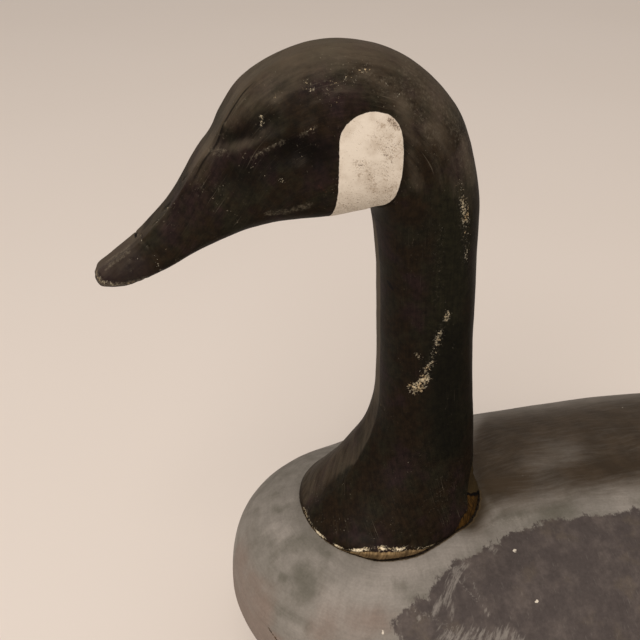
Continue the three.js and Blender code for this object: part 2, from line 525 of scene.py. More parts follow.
def tint(code: str) -> tuple[float, float, float, float]:
    """A colour for a shader from its screen code, such as 6d6a62, by the usual curve of screens."""
    parts = (int(code[k : k + 2], 16) / 255 for k in (0, 2, 4))
    return (*(c / 12.92 if c <= 0.04045 else ((c + 0.055) / 1.055) ** 2.4 for c in parts), 1.0)


@dataclass(frozen=True)
class Edge:
    """How a cover ends: how far noise moves it, and the levels at which specks start and are whole."""

    reach: float
    low: float
    high: float


@dataclass(frozen=True)
class Grain:
    """Noise, as a mask between two levels. Its size is in millimetres, or in steps of the brush.

    The brush holds the millimetres to a step along and across the brush's run, and its turn in degrees.
    """

    size: float = 1.0
    low: float = 0.0
    high: float = 1.0
    top: float = 1.0
    detail: float = 3.0
    rough: float = 0.6
    brush: tuple[float, ...] = ()


@dataclass(frozen=True)
class SmallCut:
    """A small dark cut, finer than the mesh's points.

    Its middle is in the decoy's axes until it is placed in the frame. Its half size is in
    millimetres and its turn, about the frame's axes, in degrees.
    """

    place: tuple[float, float, float]
    half: tuple[float, float, float]
    turn: tuple[float, float, float]


class Graph:
    """A material's nodes, put together by small steps that each give an output."""

    nick_grain = Grain(0.9)
    nick_ragged = 1.1
    nick_levels = Levels(1.6, 1.25)

    def __init__(self, name: str) -> None:
        """Starts a material with a plain shader.

        Args:
            name: The material's name.
        """
        self.material = bpy.data.materials.new(name)
        self.material.use_nodes = True
        self.tree = self.material.node_tree
        self.shader = self.tree.nodes["Principled BSDF"]
        self.place = self.add("ShaderNodeTexCoord", {}).outputs["Object"]

    def add(self, kind: str, inputs: dict, **settings: object) -> bpy.types.Node:
        """A new node.

        Args:
            kind: The node's type.
            inputs: A socket or a plain value for each input, by name or number.
            **settings: The node's own settings.

        Returns:
            The node.
        """
        node = self.tree.nodes.new(kind)
        for key, value in settings.items():
            setattr(node, key, value)
        for key, value in inputs.items():
            if isinstance(value, bpy.types.NodeSocket):
                self.tree.links.new(value, node.inputs[key])
            else:
                node.inputs[key].default_value = value
        return node

    def field(self, name: str) -> Socket:
        """A number stored on the mesh's points."""
        return self.add("ShaderNodeAttribute", {}, attribute_name=name).outputs["Fac"]

    def run(self, along: float, across: float, turn: float = 0.0) -> Socket:
        """The stored direction of brushing, turned by degrees.

        Args:
            along: Millimetres to a step along the turned direction.
            across: Millimetres to a step across it.
            turn: The turn, in degrees.

        Returns:
            The coordinate's output.
        """
        found = self.add("ShaderNodeAttribute", {}, attribute_name="brush").outputs["Vector"]
        inputs = {"Vector": found, "Rotation": (0.0, 0.0, math.radians(turn)), "Scale": (along, across, 1.0)}
        return self.add("ShaderNodeMapping", inputs, vector_type="TEXTURE").outputs[0]

    def grain(self, grain: Grain) -> Socket:
        """Noise from 0 to 1, over the place in the frame or along the brush.

        Args:
            grain: The noise's own sizes.

        Returns:
            The noise's output.
        """
        at = self.run(*grain.brush) if grain.brush else self.place
        scale = 1 / grain.size if grain.brush else 1 / (grain.size * MM)
        inputs = {"Vector": at, "Scale": scale, "Detail": grain.detail, "Roughness": grain.rough}
        return self.add("ShaderNodeTexNoise", inputs).outputs["Fac"]

    def step(self, value: Socket, low: float, high: float, top: float = 1.0) -> Socket:
        """A smooth rise from 0 at low to top at high."""
        inputs = {"Value": value, "From Min": low, "From Max": high, "To Min": 0.0, "To Max": top}
        return self.add("ShaderNodeMapRange", inputs, interpolation_type="SMOOTHSTEP").outputs[0]

    def mask(self, grain: Grain) -> Socket:
        """Noise as a mask between its own levels."""
        return self.step(self.grain(grain), grain.low, grain.high, grain.top)

    def level(self, value: Socket | str, levels: Levels) -> Socket:
        """A number, or a stored one by its name, as a mask between levels."""
        found = self.field(value) if isinstance(value, str) else value
        return self.step(found, levels.low, levels.high, levels.top)

    def sums(self, operation: str, a: Socket | float, b: Socket | float = 0.0, clamp: bool = False) -> Socket:
        """One sum of two numbers, by the operation's name."""
        return self.add("ShaderNodeMath", {0: a, 1: b}, operation=operation, use_clamp=clamp).outputs[0]

    def times(self, a: Socket, b: Socket | float) -> Socket:
        """One number times another."""
        return self.sums("MULTIPLY", a, b)

    def plus(self, value: Socket, share: float, rest: Socket | float) -> Socket:
        """A share of one number added to another."""
        return self.add("ShaderNodeMath", {0: value, 1: share, 2: rest}, operation="MULTIPLY_ADD").outputs[0]

    def broken(self, name: str, grain: Socket, edge: Edge) -> Socket:
        """A stored cover that breaks up into specks where it is weak.

        Args:
            name: The attribute that says how strongly each place is covered.
            grain: Noise from 0 to 1.
            edge: How the cover ends.

        Returns:
            A mask from 0 to 1.
        """
        lifted = self.plus(grain, edge.reach, self.field(name))
        return self.step(self.sums("SUBTRACT", lifted, edge.reach / 2), edge.low, edge.high)

    def nick(self, nick: SmallCut) -> Socket:
        """A small cut drawn at its true size.

        Args:
            nick: The cut, with its middle in metres of the frame.

        Returns:
            A mask from 0 to 1.
        """
        inputs = {"Vector": self.place, "Location": nick.place}
        inputs["Rotation"] = [math.radians(angle) for angle in nick.turn]
        inputs["Scale"] = [size * MM for size in nick.half]
        local = self.add("ShaderNodeMapping", inputs, vector_type="TEXTURE").outputs[0]
        away = self.add("ShaderNodeVectorMath", {0: local}, operation="LENGTH").outputs["Value"]
        return self.level(self.plus(self.grain(self.nick_grain), self.nick_ragged, away), self.nick_levels)

    def over(self, under: Socket | str, mask: Socket, colour: Socket | str, share: float = 1.0) -> Socket:
        """One colour laid over another through a share of a mask.

        Args:
            under: The colour below, or its screen code.
            mask: Where the upper colour lies, from 0 to 1.
            colour: The upper colour, or its screen code.
            share: How much of the mask counts.

        Returns:
            The colour's output.
        """
        part = mask if share == 1.0 else self.times(mask, share)
        below, above = (tint(found) if isinstance(found, str) else found for found in (under, colour))
        return self.add("ShaderNodeMix", {0: part, 6: below, 7: above}, data_type="RGBA").outputs[2]

    def shade(self, under: Socket, mask: Socket, tones: tuple[float, float]) -> Socket:
        """A colour made darker or lighter through a mask.

        Args:
            under: The colour.
            mask: A mask from 0 to 1.
            tones: What the colour is multiplied by at 0 and at 1.

        Returns:
            The colour's output.
        """
        inputs = {"Value": mask, "From Min": 0.0, "From Max": 1.0, "To Min": tones[0], "To Max": tones[1]}
        amount = self.add("ShaderNodeMapRange", inputs).outputs[0]
        return self.add("ShaderNodeVectorMath", {0: under, "Scale": amount}, operation="SCALE").outputs[0]

    def relief(self, height: Socket, distance: float, strength: float) -> None:
        """Gives the shader a fine relief.

        Args:
            height: The relief, from 0 to about 1.
            distance: Its full height in millimetres.
            strength: How much of it counts.
        """
        inputs = {"Height": height, "Distance": distance * MM, "Strength": strength}
        node = self.add("ShaderNodeBump", inputs)
        self.tree.links.new(node.outputs["Normal"], self.shader.inputs["Normal"])

    def finish(self, colour: Socket, roughness: Socket, specular: float) -> bpy.types.Material:
        """Joins the colour and roughness to the shader.

        Args:
            colour: The surface's colour.
            roughness: Its roughness.
            specular: How strongly it shines, where 0.5 is plain glass.

        Returns:
            The material.
        """
        self.tree.links.new(colour, self.shader.inputs["Base Color"])
        self.tree.links.new(roughness, self.shader.inputs["Roughness"])
        self.shader.inputs["Specular IOR Level"].default_value = specular
        return self.material


@dataclass(frozen=True)
class BareWood:
    """Old wood laid bare where the paint has gone."""

    tan: str = "927d5b"
    dark: str = "4f3f2a"
    orange: str = "4a3413"
    umber: str = "160d04"
    streaks: Grain = Grain(low=0.28, high=0.64, brush=(9.0, 0.9))

    def colour(self, graph: Graph, light: str, dark: str) -> Socket:
        """The wood's colour, streaked with its grain between a light and a dark tone."""
        return graph.over(dark, graph.mask(self.streaks), light)


@dataclass(frozen=True)
class HeadPaint:
    """Satin black paint with a white cheek patch, worn to primer and bare wood."""

    black: str = "171008"
    olive: str = "17150d"
    plum: str = "1b1211"
    moss: str = "16150c"
    dust_and_sheen: str = "756b5c"
    film: str = "777061"
    tip: str = "2f2628"
    primer: str = "7d796c"
    cream: str = "9d937b"
    bright: str = "c4bba4"
    white: str = "d2cbbe"
    grime: str = "958571"
    dirt: str = "54453d"
    rust: str = "4e271d"
    hole: str = "070504"
    putty: str = "352b18"
    wood: BareWood = BareWood()
    fine: Grain = Grain(1.15, detail=5.0, rough=0.7)
    coarse: Grain = Grain(4.5, detail=4.0)
    streaks: Grain = Grain(detail=4.0, brush=(14.0, 0.8))

    # The black, from its broad drifts to its brush strokes, with painted shade in shaded places, on the neck
    # and in carved hollows.
    olive_drifts: Grain = Grain(16.0, 0.42, 0.66)
    plum_drifts: Grain = Grain(21.0, 0.5, 0.68)
    cloud: Grain = Grain(7.0, detail=5.0)
    moss_edge: Edge = Edge(1.2, 0.1, 0.9)
    shade_edge: Edge = Edge(0.8, 0.1, 0.9)
    shade_tones: tuple[float, float] = (1.0, 0.45)
    neck_shade_tones: tuple[float, float] = (1.0, 0.78)
    mottle: Grain = Grain(3.4, 0.3, 0.7, detail=5.0, rough=0.7)
    mottle_tones: tuple[float, float] = (0.6, 1.5)
    carved: Levels = Levels(-0.6, 2.2)
    carve_shade_tones: tuple[float, float] = (1.25, 0.45)
    strokes: Grain = Grain(low=0.25, high=0.75, detail=4.0, brush=(26.0, 1.1))
    stroke_tones: tuple[float, float] = (0.8, 1.25)

    # Pale scratches and specks on the black.
    scratch_drifts: Grain = Grain(17.0, 0.44, 0.72, detail=2.0)
    neck_sparse: float = 0.78
    scratches: Grain = Grain(low=0.62, high=0.74, top=0.5, detail=2.0, brush=(26.0, 0.5))
    specks: Grain = Grain(1.0, 0.68, 0.76, 0.7, detail=1.0)

    # The cheek's white.
    white_drifts: Grain = Grain(8.0, 0.4, 0.75, 0.4, detail=5.0)
    white_film: Levels = Levels(0.1, 1.0, 0.14)
    pepper: Grain = Grain(0.9, detail=4.0, rough=0.75)
    pepper_edge: Edge = Edge(4.6, 0.66, 0.95)
    pepper_share: float = 0.55
    dots: Grain = Grain(0.8, rough=0.7)
    dot_edge: Edge = Edge(5.0, 0.98, 1.25)
    dot_share: float = 0.75
    white_hairs: Grain = Grain(low=0.56, high=0.68, brush=(7.0, 0.7))
    white_worn: Levels = Levels(0.1, 0.6, 0.6)
    patch_grain: Grain = Grain(2.6, detail=2.0)
    patch_edge: Edge = Edge(0.7, -0.16, 0.16)

    # Dust and painted sheen, the bill's tip, the forehead's painted highlight and crease shadow, and rubbed
    # places.
    dust_and_sheen_drifts: Grain = Grain(detail=6.0, rough=0.7, brush=(16.0, 7.0))
    dust_and_sheen_edge: Edge = Edge(1.3, 0.15, 1.25)
    dust_and_sheen_share: float = 0.4
    tip_levels: Levels = Levels(0.0, 1.0, 0.3)
    crest_highlight: Levels = Levels(0.2, -0.2, 0.07)
    crease_shadow_inner: Levels = Levels(-0.1, 0.2)
    crease_shadow_outer: Levels = Levels(0.95, 0.5, 0.75)
    dry: Grain = Grain(1.6, detail=6.0, rough=0.75)
    scuff_edge: Edge = Edge(2.6, 0.5, 1.4)
    scuff_share: float = 0.5

    # The foot's bare wood, darker low down as painted shade under the foot's edge, and its mended corner.
    wood_undercut_shade: Levels = Levels(0.9, 2.2, 0.6)
    wood_blotches: Levels = Levels(0.35, 0.65)
    wood_tones: tuple[float, float] = (0.65, 1.2)
    putty_edge: Edge = Edge(2.2, 0.1, 0.5)
    crack_edge: Edge = Edge(3.6, -2.6, -1.8)
    bare_edge: Edge = Edge(3.4, -0.25, 0.3)

    # Chips, rust and pits.
    chip_edge: Edge = Edge(2.6, 0.86, 1.02)
    chip_cream: Levels = Levels(0.62, 1.0)
    chip_wood: Levels = Levels(0.5, 0.62, 0.7)
    chip_bright: Levels = Levels(1.0, 1.2)
    chip_crumbs: Grain = Grain(1.2, 0.38, 0.62)
    chip_tones: tuple[float, float] = (0.5, 1.5)
    rust_levels: Levels = Levels(0.35, 0.9, 0.4)
    pit_levels: Levels = Levels(0.45, 0.8, 0.92)

    # How rough the surface is, its fine relief and its shine.
    satin: float = 0.48
    satin_grain: Levels = Levels(0.0, 1.0, 0.14)
    patch_rough: float = 0.7
    bare_rough: float = 0.85
    chip_rough: float = 0.8
    dust_and_sheen_rough: float = 0.66
    streak_share: float = 0.6
    relief_height: float = 0.09
    relief_strength: float = 0.7
    specular: float = 0.07

    def paint(self, graph: Graph) -> Socket:
        """The black itself, in drifts of brown, olive and plum, streaked along the brush, with painted shade
        in hollows and on the neck and painted highlight on ridges.

        Args:
            graph: The material's graph.

        Returns:
            The colour's output.
        """
        base = graph.over(self.black, graph.mask(self.olive_drifts), self.olive)
        base = graph.over(base, graph.mask(self.plum_drifts), self.plum)
        cloud = graph.grain(self.cloud)
        base = graph.over(base, graph.broken("rose", cloud, self.moss_edge), self.moss)
        # Painted shade in the shaded places and on the neck's band.
        base = graph.shade(base, graph.broken("shade", cloud, self.shade_edge), self.shade_tones)
        base = graph.shade(base, graph.field("neck"), self.neck_shade_tones)
        base = graph.shade(base, graph.mask(self.mottle), self.mottle_tones)
        # Painted shade in the carved hollows and painted highlight on their ridges.
        base = graph.shade(base, graph.level("carve", self.carved), self.carve_shade_tones)
        return graph.shade(base, graph.mask(self.strokes), self.stroke_tones)

    def scratched(self, graph: Graph, under: Socket) -> Socket:
        """Fine pale scratches and specks over the black, in drifts that are sparse on the neck.

        Args:
            graph: The material's graph.
            under: The black paint.

        Returns:
            The colour's output.
        """
        sparse = graph.plus(graph.field("neck"), -self.neck_sparse, 1.0)
        drift = graph.times(graph.mask(self.scratch_drifts), sparse)
        scratched = graph.over(under, graph.times(graph.mask(self.scratches), drift), self.film)
        return graph.over(scratched, graph.times(graph.mask(self.specks), drift), self.film)

    def patch(self, graph: Graph) -> Socket:
        """The white of the cheek, rubbed and speckled.

        Args:
            graph: The material's graph.

        Returns:
            The colour's output.
        """
        base = graph.over(self.white, graph.mask(self.white_drifts), self.grime)
        base = graph.over(base, graph.level("grubby", self.white_film), self.grime)
        pepper = graph.broken("grubby", graph.grain(self.pepper), self.pepper_edge)
        base = graph.over(base, pepper, self.grime, self.pepper_share)
        dots = graph.broken("grubby", graph.grain(self.dots), self.dot_edge)
        base = graph.over(base, dots, self.dirt, self.dot_share)
        lines = graph.times(graph.mask(self.white_hairs), graph.level("grubby", self.white_worn))
        return graph.over(base, lines, self.grime)

    def dust_sheen_and_crease(self, graph: Graph, under: Socket, dust_and_sheen_mask: Socket) -> Socket:
        """The black under its dust and painted sheen, with the bill's paler tip, a painted highlight on the
        forehead's flat, a painted shadow in its crease and rubbed places.

        Args:
            graph: The material's graph.
            under: The black paint.
            dust_and_sheen_mask: Where dust and painted sheen lie.

        Returns:
            The colour's output.
        """
        colour = graph.over(under, dust_and_sheen_mask, self.dust_and_sheen, self.dust_and_sheen_share)
        colour = graph.over(colour, graph.level("tip", self.tip_levels), self.tip)
        crown = graph.field("crown")
        # A painted highlight on the forehead's flat, then a painted shadow line along its crease.
        colour = graph.over(colour, graph.times(graph.level("crest", self.crest_highlight), crown), self.dust_and_sheen)
        crease_shadow = graph.times(graph.level("crest", self.crease_shadow_inner), crown)
        crease_shadow = graph.times(crease_shadow, graph.level("crest", self.crease_shadow_outer))
        colour = graph.over(colour, crease_shadow, self.hole)
        rubbed = graph.broken("scuffs", graph.grain(self.dry), self.scuff_edge)
        return graph.over(colour, rubbed, self.film, self.scuff_share)

    def foot_wood(self, graph: Graph, fine: Socket, coarse: Socket) -> Socket:
        """The bare wood of the foot, amber, darker low down as painted shade under its edge, and mended with
        filler at the rear corner.

        Args:
            graph: The material's graph.
            fine: Fine noise.
            coarse: Coarse noise.

        Returns:
            The colour's output.
        """
        wood = self.wood.colour(graph, self.wood.tan, self.wood.dark)
        # Painted shade on the lower bare wood, under the foot's edge.
        wood = graph.over(wood, graph.level("bare", self.wood_undercut_shade), self.wood.dark)
        stained = self.wood.colour(graph, self.wood.orange, self.wood.umber)
        wood = graph.over(wood, graph.field("amber"), stained)
        wood = graph.shade(wood, graph.level(coarse, self.wood_blotches), self.wood_tones)
        filled = graph.broken("filler", fine, self.putty_edge)
        wood = graph.over(wood, filled, self.putty)
        open_wood = graph.broken("filler", fine, self.crack_edge)
        return graph.over(wood, graph.sums("SUBTRACT", open_wood, filled, clamp=True), self.hole)

    def chipped(self, graph: Graph, coarse: Socket) -> Socket:
        """What shows in a chip: primer, cream undercoat and a little bare wood.

        Args:
            graph: The material's graph.
            coarse: Coarse noise.

        Returns:
            The colour's output.
        """
        pale = graph.over(self.primer, graph.level("chips", self.chip_cream), self.cream)
        pale = graph.over(pale, graph.level(coarse, self.chip_wood), self.wood.tan)
        pale = graph.over(pale, graph.level("chips", self.chip_bright), self.bright)
        return graph.shade(pale, graph.mask(self.chip_crumbs), self.chip_tones)

    def material(self, nicks: tuple[SmallCut, ...]) -> bpy.types.Material:
        """The whole finish of the head and neck.

        Args:
            nicks: The small dark cuts, with their middles in the frame.

        Returns:
            The material.
        """
        graph = Graph("worn_black_paint")
        fine = graph.grain(self.fine)
        coarse = graph.grain(self.coarse)
        # Dust and painted sheen, on faces that look up and on the neck's front facet.
        dust_and_sheen_mask = graph.broken("dust_and_sheen", graph.grain(self.dust_and_sheen_drifts), self.dust_and_sheen_edge)
        colour = self.dust_sheen_and_crease(graph, self.scratched(graph, self.paint(graph)), dust_and_sheen_mask)
        inside = graph.broken("patch", graph.grain(self.patch_grain), self.patch_edge)
        colour = graph.over(colour, inside, self.patch(graph))
        bare = graph.broken("bare", fine, self.bare_edge)
        colour = graph.over(colour, bare, self.foot_wood(graph, fine, coarse))
        chips = graph.broken("chips", fine, self.chip_edge)
        colour = graph.over(colour, chips, self.chipped(graph, coarse))
        colour = graph.over(colour, graph.level("rust", self.rust_levels), self.rust)
        colour = graph.over(colour, graph.level("pits", self.pit_levels), self.hole)
        for nick in nicks:
            colour = graph.over(colour, graph.nick(nick), self.hole)
        rough = graph.sums("ADD", graph.level(fine, self.satin_grain), self.satin)
        layers = ((inside, self.patch_rough), (bare, self.bare_rough), (chips, self.chip_rough))
        for mask, amount in (*layers, (dust_and_sheen_mask, self.dust_and_sheen_rough)):
            rough = graph.add("ShaderNodeMix", {0: mask, 2: rough, 3: amount}).outputs[0]
        height = graph.plus(graph.grain(self.streaks), self.streak_share, fine)
        graph.relief(height, self.relief_height, self.relief_strength)
        return graph.finish(colour, rough, self.specular)


@dataclass(frozen=True)
class BodyPaint:
    """Brushed grey paint, with charcoal sides to the back and an olive top, thin and worn."""

    grey: str = "7b7872"
    pale: str = "928e88"
    deep: str = "55544b"
    # Rose is a painted reflection of light bounced from the floor on the breast's low faces.
    rose: str = "7c7068"
    charcoal: str = "413b3a"
    smoke: str = "554e4b"
    brown: str = "544c43"
    olive: str = "382f24"
    seam: str = "130d07"
    # A brown band by the seam, partly a stain and partly painted shadow under the foot's near edge.
    stain_and_shadow: str = "4a3d27"
    # Grime and painted shade round the neck's foot.
    soot_and_shade: str = "2b2313"
    speck: str = "cfc9bb"
    wood: BareWood = BareWood()
    fine: Grain = Grain(1.3, detail=5.0, rough=0.7)
    hairs: Grain = Grain(detail=4.0, brush=(12.0, 0.9))

    # The grey, from its broad drifts to its specks.
    drifts: Grain = Grain(30.0, 0.4, 0.68, 0.5)
    soft: Grain = Grain(12.0, detail=5.0, rough=0.6)
    soft_levels: Levels = Levels(0.42, 0.72, 0.34)
    zone_edge: Edge = Edge(0.9, 0.05, 0.85)
    shade_share: float = 0.75
    rose_share: float = 0.85
    fans: Grain = Grain(detail=2.0, brush=(4.5, 24.0))
    pale_edge: Edge = Edge(0.9, 0.1, 0.9)
    pale_share: float = 0.8
    arcs: Grain = Grain(low=0.3, high=0.7, detail=2.0, brush=(40.0, 5.0))
    arc_tones: tuple[float, float] = (0.96, 1.04)
    bristles: Grain = Grain(low=0.3, high=0.7, brush=(20.0, 1.0))
    bristle_tones: tuple[float, float] = (0.97, 1.035)
    dots: Grain = Grain(1.4, 0.25, 0.75, detail=4.0)
    dot_tones: tuple[float, float] = (0.92, 1.08)

    # The sides' charcoal, and how its edge breaks up.
    smoke_drifts: Grain = Grain(12.0, 0.42, 0.7, detail=5.0)
    brown_drifts: Grain = Grain(19.0, 0.55, 0.72, 0.6, detail=4.0)
    wing_hairs: Grain = Grain(low=0.58, high=0.76, top=0.35, detail=4.0, brush=(1.0, 7.0))
    wing_mottle: Grain = Grain(2.6, 0.3, 0.7, detail=5.0, rough=0.7)
    wing_tones: tuple[float, float] = (0.86, 1.16)
    wing_grain: Grain = Grain(5.5, detail=6.0, rough=0.7)
    wing_edge: Edge = Edge(17.0, -0.8, 1.4)
    fringe: Grain = Grain(detail=4.0, rough=0.65, brush=(1.1, 8.0))
    fringe_edge: Edge = Edge(26.0, 1.2, 3.2)
    fringe_share: float = 0.8
    dragged: Grain = Grain(detail=5.0, rough=0.7, brush=(11.0, 2.4, -52.0))
    dragged_edge: Edge = Edge(2.8, 0.5, 1.0)
    dragged_share: float = 0.6
    wing_share: float = 0.94

    # The back's olive.
    dry: Grain = Grain(detail=5.0, rough=0.7, brush=(16.0, 3.0))
    back_edge: Edge = Edge(0.6, 0.0, 1.0)
    back_olive: Levels = Levels(0.35, 0.9)
    back_mottle: Grain = Grain(14.0, 0.3, 0.7, detail=4.0)
    back_tones: tuple[float, float] = (0.82, 1.2)

    # Rubbed places, grime and painted shade round the foot, bare wood, the seam with its painted shadow, and
    # pits.
    scuff_edge: Edge = Edge(1.8, 0.55, 1.1)
    scuff_share: float = 0.5
    grime_and_shade_share: float = 0.6
    wood_edge: Edge = Edge(1.2, 0.4, 0.6)
    stain_and_shadow_edge: Edge = Edge(0.8, 1.3, 0.9)
    stain_and_shadow_share: float = 0.85
    seam_edge: Edge = Edge(0.6, 1.0, 0.6)
    seam_share: float = 0.95
    chip_edge: Edge = Edge(0.8, 0.45, 0.6)
    pit_levels: Levels = Levels(0.4, 0.75, 0.95)

    # How rough the surface is, its fine relief and its shine.
    matt: float = 0.58
    matt_grain: Levels = Levels(0.0, 1.0, 0.2)
    hair_share: float = 0.8
    relief_height: float = 0.1
    relief_strength: float = 0.7
    specular: float = 0.13

    def ground(self, graph: Graph) -> Socket:
        """The grey of the breast and flanks, brushed in arcs and fans round the neck's foot, with painted
        shade and a painted reflection in places.

        Args:
            graph: The material's graph.

        Returns:
            The colour's output.
        """
        soft = graph.grain(self.soft)
        base = graph.over(self.grey, graph.mask(self.drifts), self.pale)
        base = graph.over(base, graph.level(soft, self.soft_levels), self.deep)
        # Shade zones lay deep green-grey, partly painted shade under the foot's front, on the breast's far
        # slope and along its chine; rose zones are a painted reflection of light bounced from the floor on
        # the breast's low faces.
        zones = (("shade", self.deep, self.shade_share), ("rose", self.rose, self.rose_share))
        for name, code, share in zones:
            base = graph.over(base, graph.broken(name, soft, self.zone_edge), code, share)
        strokes = graph.broken("pale", graph.grain(self.fans), self.pale_edge)
        base = graph.over(base, strokes, self.pale, self.pale_share)
        base = graph.shade(base, graph.mask(self.arcs), self.arc_tones)
        base = graph.shade(base, graph.mask(self.bristles), self.bristle_tones)
        return graph.shade(base, graph.mask(self.dots), self.dot_tones)

    def wing(self, graph: Graph) -> Socket:
        """The charcoal of the sides, mottled and scratched.

        Args:
            graph: The material's graph.

        Returns:
            The colour's output.
        """
        base = graph.over(self.charcoal, graph.mask(self.smoke_drifts), self.smoke)
        base = graph.over(base, graph.mask(self.brown_drifts), self.brown)
        base = graph.over(base, graph.mask(self.wing_hairs), self.grey)
        return graph.shade(base, graph.mask(self.wing_mottle), self.wing_tones)

    def wing_cover(self, graph: Graph) -> Socket:
        """Where the charcoal lies, with a fringe of bristle marks and dragged strokes.

        Args:
            graph: The material's graph.

        Returns:
            A mask from 0 to 1.
        """
        cover = graph.broken("wing", graph.grain(self.wing_grain), self.wing_edge)
        fringe = graph.broken("wing", graph.grain(self.fringe), self.fringe_edge)
        cover = graph.sums("MAXIMUM", cover, graph.times(fringe, self.fringe_share))
        holes = graph.broken("pale", graph.grain(self.dragged), self.dragged_edge)
        return graph.sums("SUBTRACT", cover, graph.times(holes, self.dragged_share), clamp=True)

    def back(self, graph: Graph) -> Socket:
        """The olive of the back, brown where it is thin."""
        tone = graph.over(self.brown, graph.level("back", self.back_olive), self.olive)
        return graph.shade(tone, graph.mask(self.back_mottle), self.back_tones)

    def material(self) -> bpy.types.Material:
        """The whole finish of the body.

        Returns:
            The material.
        """
        graph = Graph("worn_grey_paint")
        fine = graph.grain(self.fine)
        hairs = graph.grain(self.hairs)
        top = graph.broken("back", graph.grain(self.dry), self.back_edge)
        colour = graph.over(self.ground(graph), top, self.back(graph))
        colour = graph.over(colour, self.wing_cover(graph), self.wing(graph), self.wing_share)
        rubbed = graph.broken("scuffs", fine, self.scuff_edge)
        colour = graph.over(colour, rubbed, self.pale, self.scuff_share)
        # Grime and painted shade round the neck's foot, deepest behind it.
        colour = graph.over(colour, graph.field("grime"), self.soot_and_shade, self.grime_and_shade_share)
        bare = graph.broken("rust", fine, self.wood_edge)
        colour = graph.over(colour, bare, self.wood.colour(graph, self.wood.orange, self.wood.umber))
        # The seam's brown band and dark line, partly painted shadow under the foot's near edge.
        colour = graph.over(colour, graph.broken("seam", fine, self.stain_and_shadow_edge), self.stain_and_shadow, self.stain_and_shadow_share)
        colour = graph.over(colour, graph.broken("seam", fine, self.seam_edge), self.seam, self.seam_share)
        colour = graph.over(colour, graph.broken("chips", fine, self.chip_edge), self.speck)
        colour = graph.over(colour, graph.level("pits", self.pit_levels), self.seam)
        rough = graph.sums("ADD", graph.level(hairs, self.matt_grain), self.matt)
        graph.relief(graph.plus(hairs, self.hair_share, fine), self.relief_height, self.relief_strength)
        return graph.finish(colour, rough, self.specular)


@dataclass(frozen=True)
class Rib:
    """One section of the neck or head, across the side outline."""

    front: tuple[float, float]
    back: tuple[float, float]
    half: float
    wide: float
    front_square: float
    back_square: float
    strip: float = 0.0
    facet: float = 0.0


HEAD_RIBS = (
    Rib((50, 141.3), (-49.7, 141.3), 44.2, 0.46, 2.25, 1.95),
    Rib((50.8, 146), (-50.5, 146), 45, 0.46, 2.25, 1.95),
    Rib((49.5, 153), (-50.2, 152), 44.2, 0.46, 2.2, 1.95, facet=8),
    Rib((35.5, 168.5), (-49, 166), 37, 0.46, 2.2, 1.9, facet=11.5),
    Rib((17, 187.5), (-47.2, 186), 29.3, 0.46, 2.2, 2, facet=8),
    Rib((9.8, 209), (-45, 208), 26, 0.46, 2.3, 2.2, facet=5),
    Rib((8.4, 232), (-42.4, 230), 24.5, 0.48, 2.4, 2.3, facet=2.8),
    Rib((9.1, 262), (-40.4, 262), 24, 0.5, 2.4, 2.3, facet=2.5),
    Rib((10.6, 298), (-38.8, 300), 24, 0.5, 2.4, 2.3, facet=2.6),
    Rib((13.6, 321.5), (-36.8, 338), 25, 0.45, 2.2, 2.2, facet=2.6),
    Rib((17, 332), (-23.2, 377.5), 27, 0.42, 2.2, 2.1, facet=2),
    Rib((25, 332), (4, 402.2), 28.5, 0.4, 2.4, 2),
    Rib((38, 330.2), (34, 409.4), 28.5, 0.4, 2.5, 1.9, strip=3),
    Rib((54, 329.1), (60, 403.4), 26.5, 0.42, 2.4, 1.65, strip=6),
    Rib((64, 328.8), (75.7, 393), 24.5, 0.42, 2.4, 1.5, strip=7.5),
    Rib((72, 327.2), (84.7, 380.7), 22.5, 0.42, 2.3, 1.4, strip=8),
    Rib((79, 325.5), (89.7, 371.7), 20.5, 0.4, 2.3, 1.3, strip=8),
    Rib((89, 321.8), (98, 360.6), 18.2, 0.38, 2.3, 1.3, strip=7.5),
    Rib((102, 316.4), (109.8, 342.3), 16, 0.36, 2.3, 1.3, strip=7),
    Rib((116.7, 309), (126.3, 324.7), 14.5, 0.36, 2.3, 1.35, strip=7),
    Rib((134, 302.8), (138.7, 315.6), 13, 0.4, 2.2, 1.5, strip=5.5),
    Rib((145.2, 302.8), (146.4, 310.3), 9.3, 0.45, 2, 1.7, strip=4),
    Rib((147.1, 303.9), (147.4, 309), 6.2, 0.5, 2, 1.8, strip=2.5),
    Rib((148.1, 305.4), (148.2, 307.6), 2.4, 0.5, 2, 1.9, strip=0.8),
)

HEAD_HOLLOWS = spot_rows(
    (4.6, 1.7, (92, 369.5), (84, 372.5), (76, 376), (68, 382)),
    (7.0, 1.7, (80, 357), (71, 363.5), (60, 368)), (6.5, 2.6, (55, 370), (48, 366)),
    (2.8, -0.7, (76, 369.5), (68, 373), (61, 375.5)), (2.8, -0.8, (54, 377), (48, 379.5)),
    (7.0, -0.7, (90, 380), (82, 386), (74, 391)),
)

